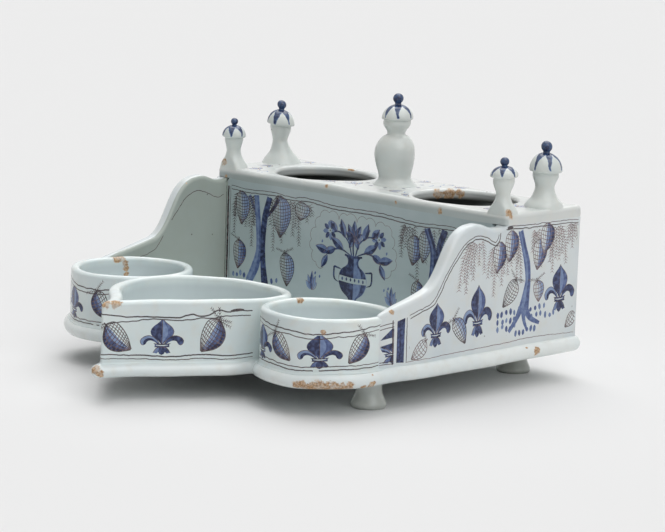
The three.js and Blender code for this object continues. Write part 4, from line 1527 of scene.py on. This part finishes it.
def makePan(name, node, painter):
    low, high = cadBox(node)
    loops = sectionLoops(node, 2, (low[2] + high[2]) / 2)
    fine = [softened(smoothLine(loop, 0.8, closed=True), pan["soften"]) for loop in loops[:2]]
    count = int(round(np.linalg.norm(np.diff(fine[0], axis=0), axis=1).sum() / pan["spacing"] / 2))
    walls = []
    for loop in fine:
        loop = np.roll(loop, -loop[:, 1].argmax(), axis=0)
        tip = loop[:, 1].argmin()
        halves = [loop[:tip + 1], np.vstack([loop[tip:], loop[:1]])]
        walls.append(np.vstack([evenly(h, 1, count=count)[:-1] for h in halves]))
    outer, inner = walls
    outer = outer - intoClay(outer) * pan["grow"]
    footOut = outer - intoClay(outer) * pan["foot"]
    footIn = inner + intoClay(inner) * pan["foot"]
    rimTop, rim, below = high[2], pan["rim"], floorTop - pan["under"]
    clay = Clay()

    def ring(flat, z):
        return np.column_stack([flat, np.full(len(flat), z)])

    def cove(near, far):
        # the glaze gathered in the corner between wall and floor
        rise = pan["foot"] + 0.2
        return [
            ring(far + (near - far) * math.sin(t), floorTop - 0.2 + rise * (1 - math.cos(t)))
            for t in np.linspace(0, math.pi / 2, 5)
        ]

    bandLow, bandHigh = floorTop + pan["foot"], rimTop - rim
    outFoot, inFoot = cove(outer, footOut), cove(inner, footIn)[::-1]
    over = [
        ring(outer + (inner - outer) * (1 - math.cos(t)) / 2, bandHigh + rim * math.sin(t))
        for t in np.linspace(0, math.pi, rimSteps)
    ]
    down = [ring(inner, z) for z in np.linspace(bandHigh, bandLow, 8)[1:-1]]
    under = [inFoot[-1], ring(footIn, below), ring(footOut, below), outFoot[0]]
    rings = np.array(outFoot + over + down + inFoot)
    normals = gridNormals(rings, True)
    start = len(outFoot)
    wearAndShade = np.zeros(len(rings))
    wearAndShade[start:start + rimSteps] = np.sin(np.linspace(0, math.pi, rimSteps)) ** 0.5
    wearAndShade[start + rimSteps:] = -1  # painted shade on the sheltered inside
    clay.grid(rings[:start], normals[:start])
    clay.grid(rings[start:], normals[start:], wearAndShade=wearAndShade[start:])
    clay.grid(np.array(under))
    # the painted band, from the foot to the rim
    runs = np.r_[0, np.cumsum(np.linalg.norm(np.roll(outer, -1, axis=0) - outer, axis=1))]
    length = runs[-1]
    closed = np.vstack([outer, outer[:1]])
    upright = normals[start - 1] * [1, 1, 0]
    upright /= np.linalg.norm(upright, axis=1)[:, None]
    around = np.vstack([upright, upright[:1]])

    def toSpace(flat):
        s = np.clip(flat[:, 0], 0, length)
        s = np.where(s >= length - 1e-5, 0, s)
        x, y = (np.interp(s, runs, closed[:, i]) for i in (0, 1))
        return np.column_stack([x, y, flat[:, 1]])

    levels = np.linspace(bandLow, bandHigh, 12)
    border = np.vstack([
        np.column_stack([runs, np.full(len(runs), bandLow)]),
        np.column_stack([np.full(10, length), levels[1:-1]]),
        np.column_stack([runs[::-1], np.full(len(runs), bandHigh)]),
        np.column_stack([np.zeros(10), levels[1:-1][::-1]]),
    ])
    bands = painter(runs[closed[:, 1].argmin()]).bands
    flatPoints, triangles, inks = inlaid([border], bands, pan["mesh"])
    s = flatPoints[:, 0]
    facing = np.column_stack([np.interp(s, runs, around[:, i]) for i in range(3)])
    facing /= np.linalg.norm(facing, axis=1)[:, None]
    clay.add(toSpace(flatPoints), triangles, facing[triangles], inks)
    clay.piece(name, [node], panGlaze)


# Finials and feet, turned by hand: radii and heights from the box's top

finials = {
    "centre_finial": {
        "name": "middle_knob",
        "foot": 15.0, "neck": (5.6, 33.2), "bulb": (8.5, 38.8), "cap": (9.6, 42.6),
        "stem": [(12.4, 1.8), (10.5, 4.4), (10.5, 7.4), (11.7, 12), (12.6, 17), (12.75, 20.8), (12.2, 24.6),
                 (10.6, 28.2), (8.2, 31.0)],
        "dome": 9.1, "knob": (3.3, 55.3), "sway": [(0, 0), (20, -0.8), (36, 0.1), (46, 0.5)],
        "tilt": 0.0, "turn": 0,
    },
    "front_left_finial": {
        "name": "front_left_knob",
        "foot": 10.2, "neck": (4.6, 11.0), "bulb": (6.0, 17.6), "cap": (7.5, 20.1),
        "stem": [(7.7, 3.3), (5.5, 6.8)],
        "dome": 7.2, "knob": (2.35, 29.5), "sway": [(0, 0), (12, -0.2), (30, -0.2)],
        "tilt": 0.03, "turn": -15,
    },
    "front_right_finial": {
        "name": "front_right_knob",
        "foot": 10.0, "neck": (4.2, 11.3), "bulb": (6.3, 17.8), "cap": (8.1, 22.0),
        "stem": [(7.4, 3.3), (5.3, 6.6)],
        "dome": 6.3, "knob": (2.7, 30.7), "sway": [(0, 0), (30, 0)], "tilt": 0.0, "turn": -8,
    },
    "rear_left_finial": {
        "name": "rear_left_knob",
        "foot": 13.8, "neck": (4.9, 15.1), "bulb": (6.8, 22.4), "cap": (8.8, 25.7),
        "stem": [(10.6, 3.6), (7.4, 7.4), (5.6, 11.4)],
        "dome": 9.6, "knob": (3.0, 38.4), "sway": [(0, 0), (14, -1.6), (26, -1.3), (40, -0.8)], "tilt": 0.12,
        "turn": -20,
    },
    "rear_right_finial": {
        "name": "rear_right_knob",
        "foot": 12.6, "neck": (5.9, 12.4), "bulb": (8.0, 18.6), "cap": (10.0, 22.2),
        "stem": [(10.6, 2.8), (7.7, 6.2)],
        "dome": 11.2, "knob": (3.5, 36.8), "sway": [(0, 0), (20, 0.5), (36, 0.4)], "tilt": 0.03, "turn": 14,
    },
}
across = np.array([0.719, 0.695])  # the way in which the finials lean
turning = {"sides": 72, "knobNeck": 0.62, "under": 0.6, "flutes": 6, "fluteDepth": 0.022, "fluteTurn": 0.803,
           "clearance": 0.45, "spread": 0.8}


def finialProfile(f):
    capRadius, capHeight = f["cap"]
    knobRadius, knobHeight = f["knob"]
    bulbRadius, bulbHeight = f["bulb"]
    footRadius, (stemRadius, stemHeight) = f["foot"], f["stem"][0]
    shoulder = (bulbRadius * 0.98, capHeight - 0.5)
    stem = [(footRadius - 0.6, 0.0), (footRadius * 0.55 + stemRadius * 0.45, stemHeight * 0.34),
            *f["stem"], f["neck"], (bulbRadius, bulbHeight), shoulder]
    line = smoothLine(stem, 0.7, corner=80)
    neck = knobRadius * turning["knobNeck"]
    # the cap's lip curls out under the dome
    lip = [shoulder, (capRadius - 0.9, capHeight - 0.75), (capRadius - 0.15, capHeight - 0.3)]
    dome = []
    for t in np.linspace(0.05, math.acos(neck / capRadius), 16):
        dome.append((capRadius * math.cos(t), capHeight + f["dome"] * math.sin(t)))
    knob = []
    for t in np.linspace(-math.acos(turning["knobNeck"]), math.pi / 2, 12):
        knob.append((max(knobRadius * math.cos(t), 0.0), knobHeight + knobRadius * math.sin(t)))
    upper = smoothLine(lip + dome, 0.6, corner=80)
    joint = [(neck * 0.97, (dome[-1][1] + knob[0][1]) / 2)]
    crown = smoothLine([dome[-1]] + joint + knob, 0.5, corner=80)
    return np.vstack([line, upper[1:], crown[1:]])


def makeFinial(node):
    f = finials[node]
    mesh = np.array([v.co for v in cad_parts[node].data.vertices]) / mm
    axis = mesh[mesh[:, 2].argmax()][:2]
    profile = finialProfile(f)
    turns = np.linspace(0, 2 * math.pi, turning["sides"], endpoint=False)
    rings = []
    capHeight = f["cap"][1]
    for radius, z in profile:
        lean = across * np.interp(z, *zip(*f["sway"]))
        # the dome is fluted between its strokes, and sits at a slight tilt
        onDome = np.clip((z - capHeight + 1.4) / 1.2, 0, 1) * np.clip((capHeight + f["dome"] - z) / 3, 0, 1)
        fluting = np.cos(turning["flutes"] * (turns + turning["fluteTurn"] + math.pi / 6))
        around = radius * (1 + turning["fluteDepth"] * onDome * fluting)
        x, y = axis[0] + lean[0] + around * np.cos(turns), axis[1] + lean[1] + around * np.sin(turns)
        tilted = f["tilt"] * np.clip((z - f["neck"][1]) / 6, 0, 1)
        height = boxTop - 0.15 + z - tilted * radius * np.cos(turns - math.radians(studio["azimuth"]))
        rings.append(np.column_stack([x, y, height]))
    skirt = rings[0] - [0, 0, turning["under"]]
    rings = np.array([skirt] + rings)
    rings[-1] = rings[-1].mean(0)
    # the foot spreads over the shelf's rounded edge and stops at the faces
    low = np.clip(1 - (rings[..., 2] - boxTop - 7) / 5, 0, 1)
    gap = turning["clearance"]
    for side, way, line in ((0, np.sign(axis[0]), sideFace - gap), (1, -1, -(boxFront + gap))):
        room = line - way * axis[side]
        if room > f["foot"] + 4 or way == 0:
            continue
        out = (rings[..., side] - axis[side]) * way
        easy = turning["spread"] * room
        soft = np.where(out > easy, easy + (room - easy) * np.tanh((out - easy) / (room - easy)), out)
        out = out + (soft - out) * low
        rings[..., side] = axis[side] + way * out
        near = np.clip(out - room + top["edge"], 0, top["edge"])
        drop = top["edge"] - np.sqrt(np.maximum(top["edge"] ** 2 - near**2, 0))
        rings[..., 2] -= drop * np.clip(1 - (rings[..., 2] - boxTop) / 3.5, 0, 1)
    clay = Clay()
    clay.grid(rings)
    clay.grid(np.array([rings[0] * [0, 0, 1] + [*rings[0].mean(0)[:2], 0], rings[0]]))
    spread = np.interp(rings[..., 2], [boxTop, boxTop + 4, boxTop + 4.1], [0.5, 0.2, 0.0])
    clay.parts[0] = clay.parts[0][:4] + (spread.reshape(-1),)
    capTop = boxTop + f["cap"][1]
    domeTop = capTop + f["dome"]

    def turnedAt(p):
        # place about the axis, and height: 0 at the cap's lip, 1 at the top of the dome
        lean = np.interp(p[:, 2] - boxTop, *zip(*f["sway"]))[:, None] * across
        x, y = (p[:, :2] - axis - lean).T
        c, s = math.cos(math.radians(f["turn"])), math.sin(math.radians(f["turn"]))
        return np.column_stack([c * x + s * y, c * y - s * x, (p[:, 2] - capTop) / (domeTop - capTop)])

    thing = clay.piece(f["name"], [node], finialGlaze)
    co = np.empty(len(thing.data.vertices) * 3, np.float32)
    thing.data.vertices.foreach_get("co", co)
    held = thing.data.attributes.new("turned", "FLOAT_VECTOR", "POINT")
    held.data.foreach_set("vector", turnedAt(co.reshape(-1, 3) / mm).astype(np.float32).ravel())


foot = {"radius": 10.6, "lip": 2.2, "waist": 7.5, "waistHeight": 11.6, "top": 8.9, "chamfer": 0.9}


def makeFoot(node, name):
    low, high = cadBox(node)
    x, y = (low[:2] + high[:2]) / 2
    r, lip = foot["radius"], foot["lip"]
    profile = [
        (0.0, 0.35), (r - 3.2, 0.3), (r - 2.2, 0.0), (r - foot["chamfer"], 0.02), (r - 0.25, 0.5),
        (r, lip * 0.65), (r - 0.15, lip + 0.6), (9.3, 5.2), (8.0, 8.6), (foot["waist"], foot["waistHeight"]),
        (8.0, 14.6), (foot["top"], 16.8), (foot["top"] + 0.7, 17.8),
    ]
    profile = smoothLine(profile, 0.7, corner=60)
    turns = np.linspace(0, 2 * math.pi, 48, endpoint=False)
    rings = np.array([
        np.column_stack([x + r * np.cos(turns), y + r * np.sin(turns), np.full(len(turns), max(z, 0.0))])
        for r, z in profile
    ])
    rings[0] = rings[0].mean(0)
    clay = Clay()
    clay.grid(rings, wearAndShade=np.interp(profile[:, 1], [0, 1.5, 3], [0.8, 0.3, 0]))
    clay.grid(np.array([rings[-1], rings[-1] * [0, 0, 1] + [x, y, 0]]))
    clay.piece(name, [node], footGlaze)


# Studio

studio = {
    "azimuth": 44.0, "pitch": 9.67987, "roll": 1.89479, "distance": 1888.0, "lens": 162.406,
    "target": (-15.208, 67.666, 57.299),
    "world": 0.04, "backdrop": 0.86, "floor": 0.795,
}
# soft lamps: azimuth from the front towards the right, height, strength and spread
lamps = {
    "right": (76, 46, 1.2, 56),
    "overhead": (60, 84, 0.77, 60),
    "behind": (216, 60, 1.68, 55),
    "left": (300, 50, 0.16, 70),
}


def makeCamera():
    a, p, r = (math.radians(studio[k]) for k in ("azimuth", "pitch", "roll"))
    look = Vector((-math.sin(a) * math.cos(p), math.cos(a) * math.cos(p), -math.sin(p)))
    right = look.cross(Vector((0, 0, 1))).normalized()
    up = right.cross(look)
    x = right * math.cos(r) + up * math.sin(r)
    y = up * math.cos(r) - right * math.sin(r)
    data = bpy.data.cameras.new("view")
    data.lens, data.sensor_width = studio["lens"], 36.0
    data.clip_start, data.clip_end = 0.05, 60.0
    camera = bpy.data.objects.new("view", data)
    scene.collection.objects.link(camera)
    turn = Matrix((x, y, -look)).transposed()
    place = Vector(studio["target"]) * mm - look * studio["distance"] * mm
    camera.matrix_world = Matrix.Translation(place) @ turn.to_4x4()
    scene.camera = camera


def makeFloor():
    s = Shader("floor_paper")
    grey = studio["floor"]
    shade = s.node("ShaderNodeBsdfDiffuse", {}, {"Color": (grey, grey, grey, 1)})
    s.node("ShaderNodeOutputMaterial", {}, {"Surface": shade})
    bpy.ops.mesh.primitive_plane_add(size=40)
    floor = bpy.context.object
    floor.name = "floor"
    floor.data.materials.append(s.material)


def makeLamp(name, azimuth, height, strength, spread):
    data = bpy.data.lights.new(name, "SUN")
    data.energy, data.angle = strength, math.radians(spread)
    lamp = bpy.data.objects.new(name, data)
    scene.collection.objects.link(lamp)
    a, h = math.radians(azimuth), math.radians(height)
    away = Vector((math.sin(a) * math.cos(h), -math.cos(a) * math.cos(h), math.sin(h)))
    lamp.rotation_mode = "QUATERNION"
    lamp.rotation_quaternion = away.to_track_quat("Z", "Y")


def makeBackdrop():
    # a pale backdrop that the glaze mirrors, and that lights nothing
    world = bpy.data.worlds.new("studio")
    scene.world = world
    world.use_nodes = True
    nodes, links = world.node_tree.nodes, world.node_tree.links
    rays = nodes.new("ShaderNodeLightPath")
    seen = nodes.new("ShaderNodeMath")
    seen.operation = "MAXIMUM"
    links.new(rays.outputs["Is Camera Ray"], seen.inputs[0])
    links.new(rays.outputs["Is Glossy Ray"], seen.inputs[1])
    level = nodes.new("ShaderNodeMapRange")
    level.inputs["To Min"].default_value = studio["world"]
    level.inputs["To Max"].default_value = studio["backdrop"]
    links.new(seen.outputs[0], level.inputs["Value"])
    nodes["Background"].inputs["Color"].default_value = (1, 1, 1, 1)
    links.new(level.outputs[0], nodes["Background"].inputs["Strength"])


makeCamera()
makeFloor()
makeBackdrop()
for name, settings in lamps.items():
    makeLamp(name, *settings)
scene.view_settings.view_transform = "Standard"
print("studio ready")

makeSideWall(1, "right_arm", "right_side_wall", 11)
makeSideWall(-1, "left_arm", "left_side_wall", 12)
makeCrossWall("front_wall", "box_front_wall", paintFront(21))
makeCrossWall("back_wall", "box_back_wall", paintBack(22))
makeTop(paintTop(31))
roundRadius = np.ptp(cadBox("right_round_pan"), axis=0)[0] / 2 + pan["grow"]
makePan("right_pan", "right_round_pan", lambda tip: paintRoundPan(41, roundRadius, 1))
makePan("left_pan", "left_round_pan", lambda tip: paintRoundPan(42, roundRadius, -1))
makePan("beaked_pan", "pointed_pan", lambda tip: paintPointedPan(43, tip))
for node in finials:
    makeFinial(node)
for node in ("front_left_foot", "front_right_foot", "rear_left_foot", "rear_right_foot"):
    makeFoot(node, node.replace("foot", "button_foot"))
print("pieces made")
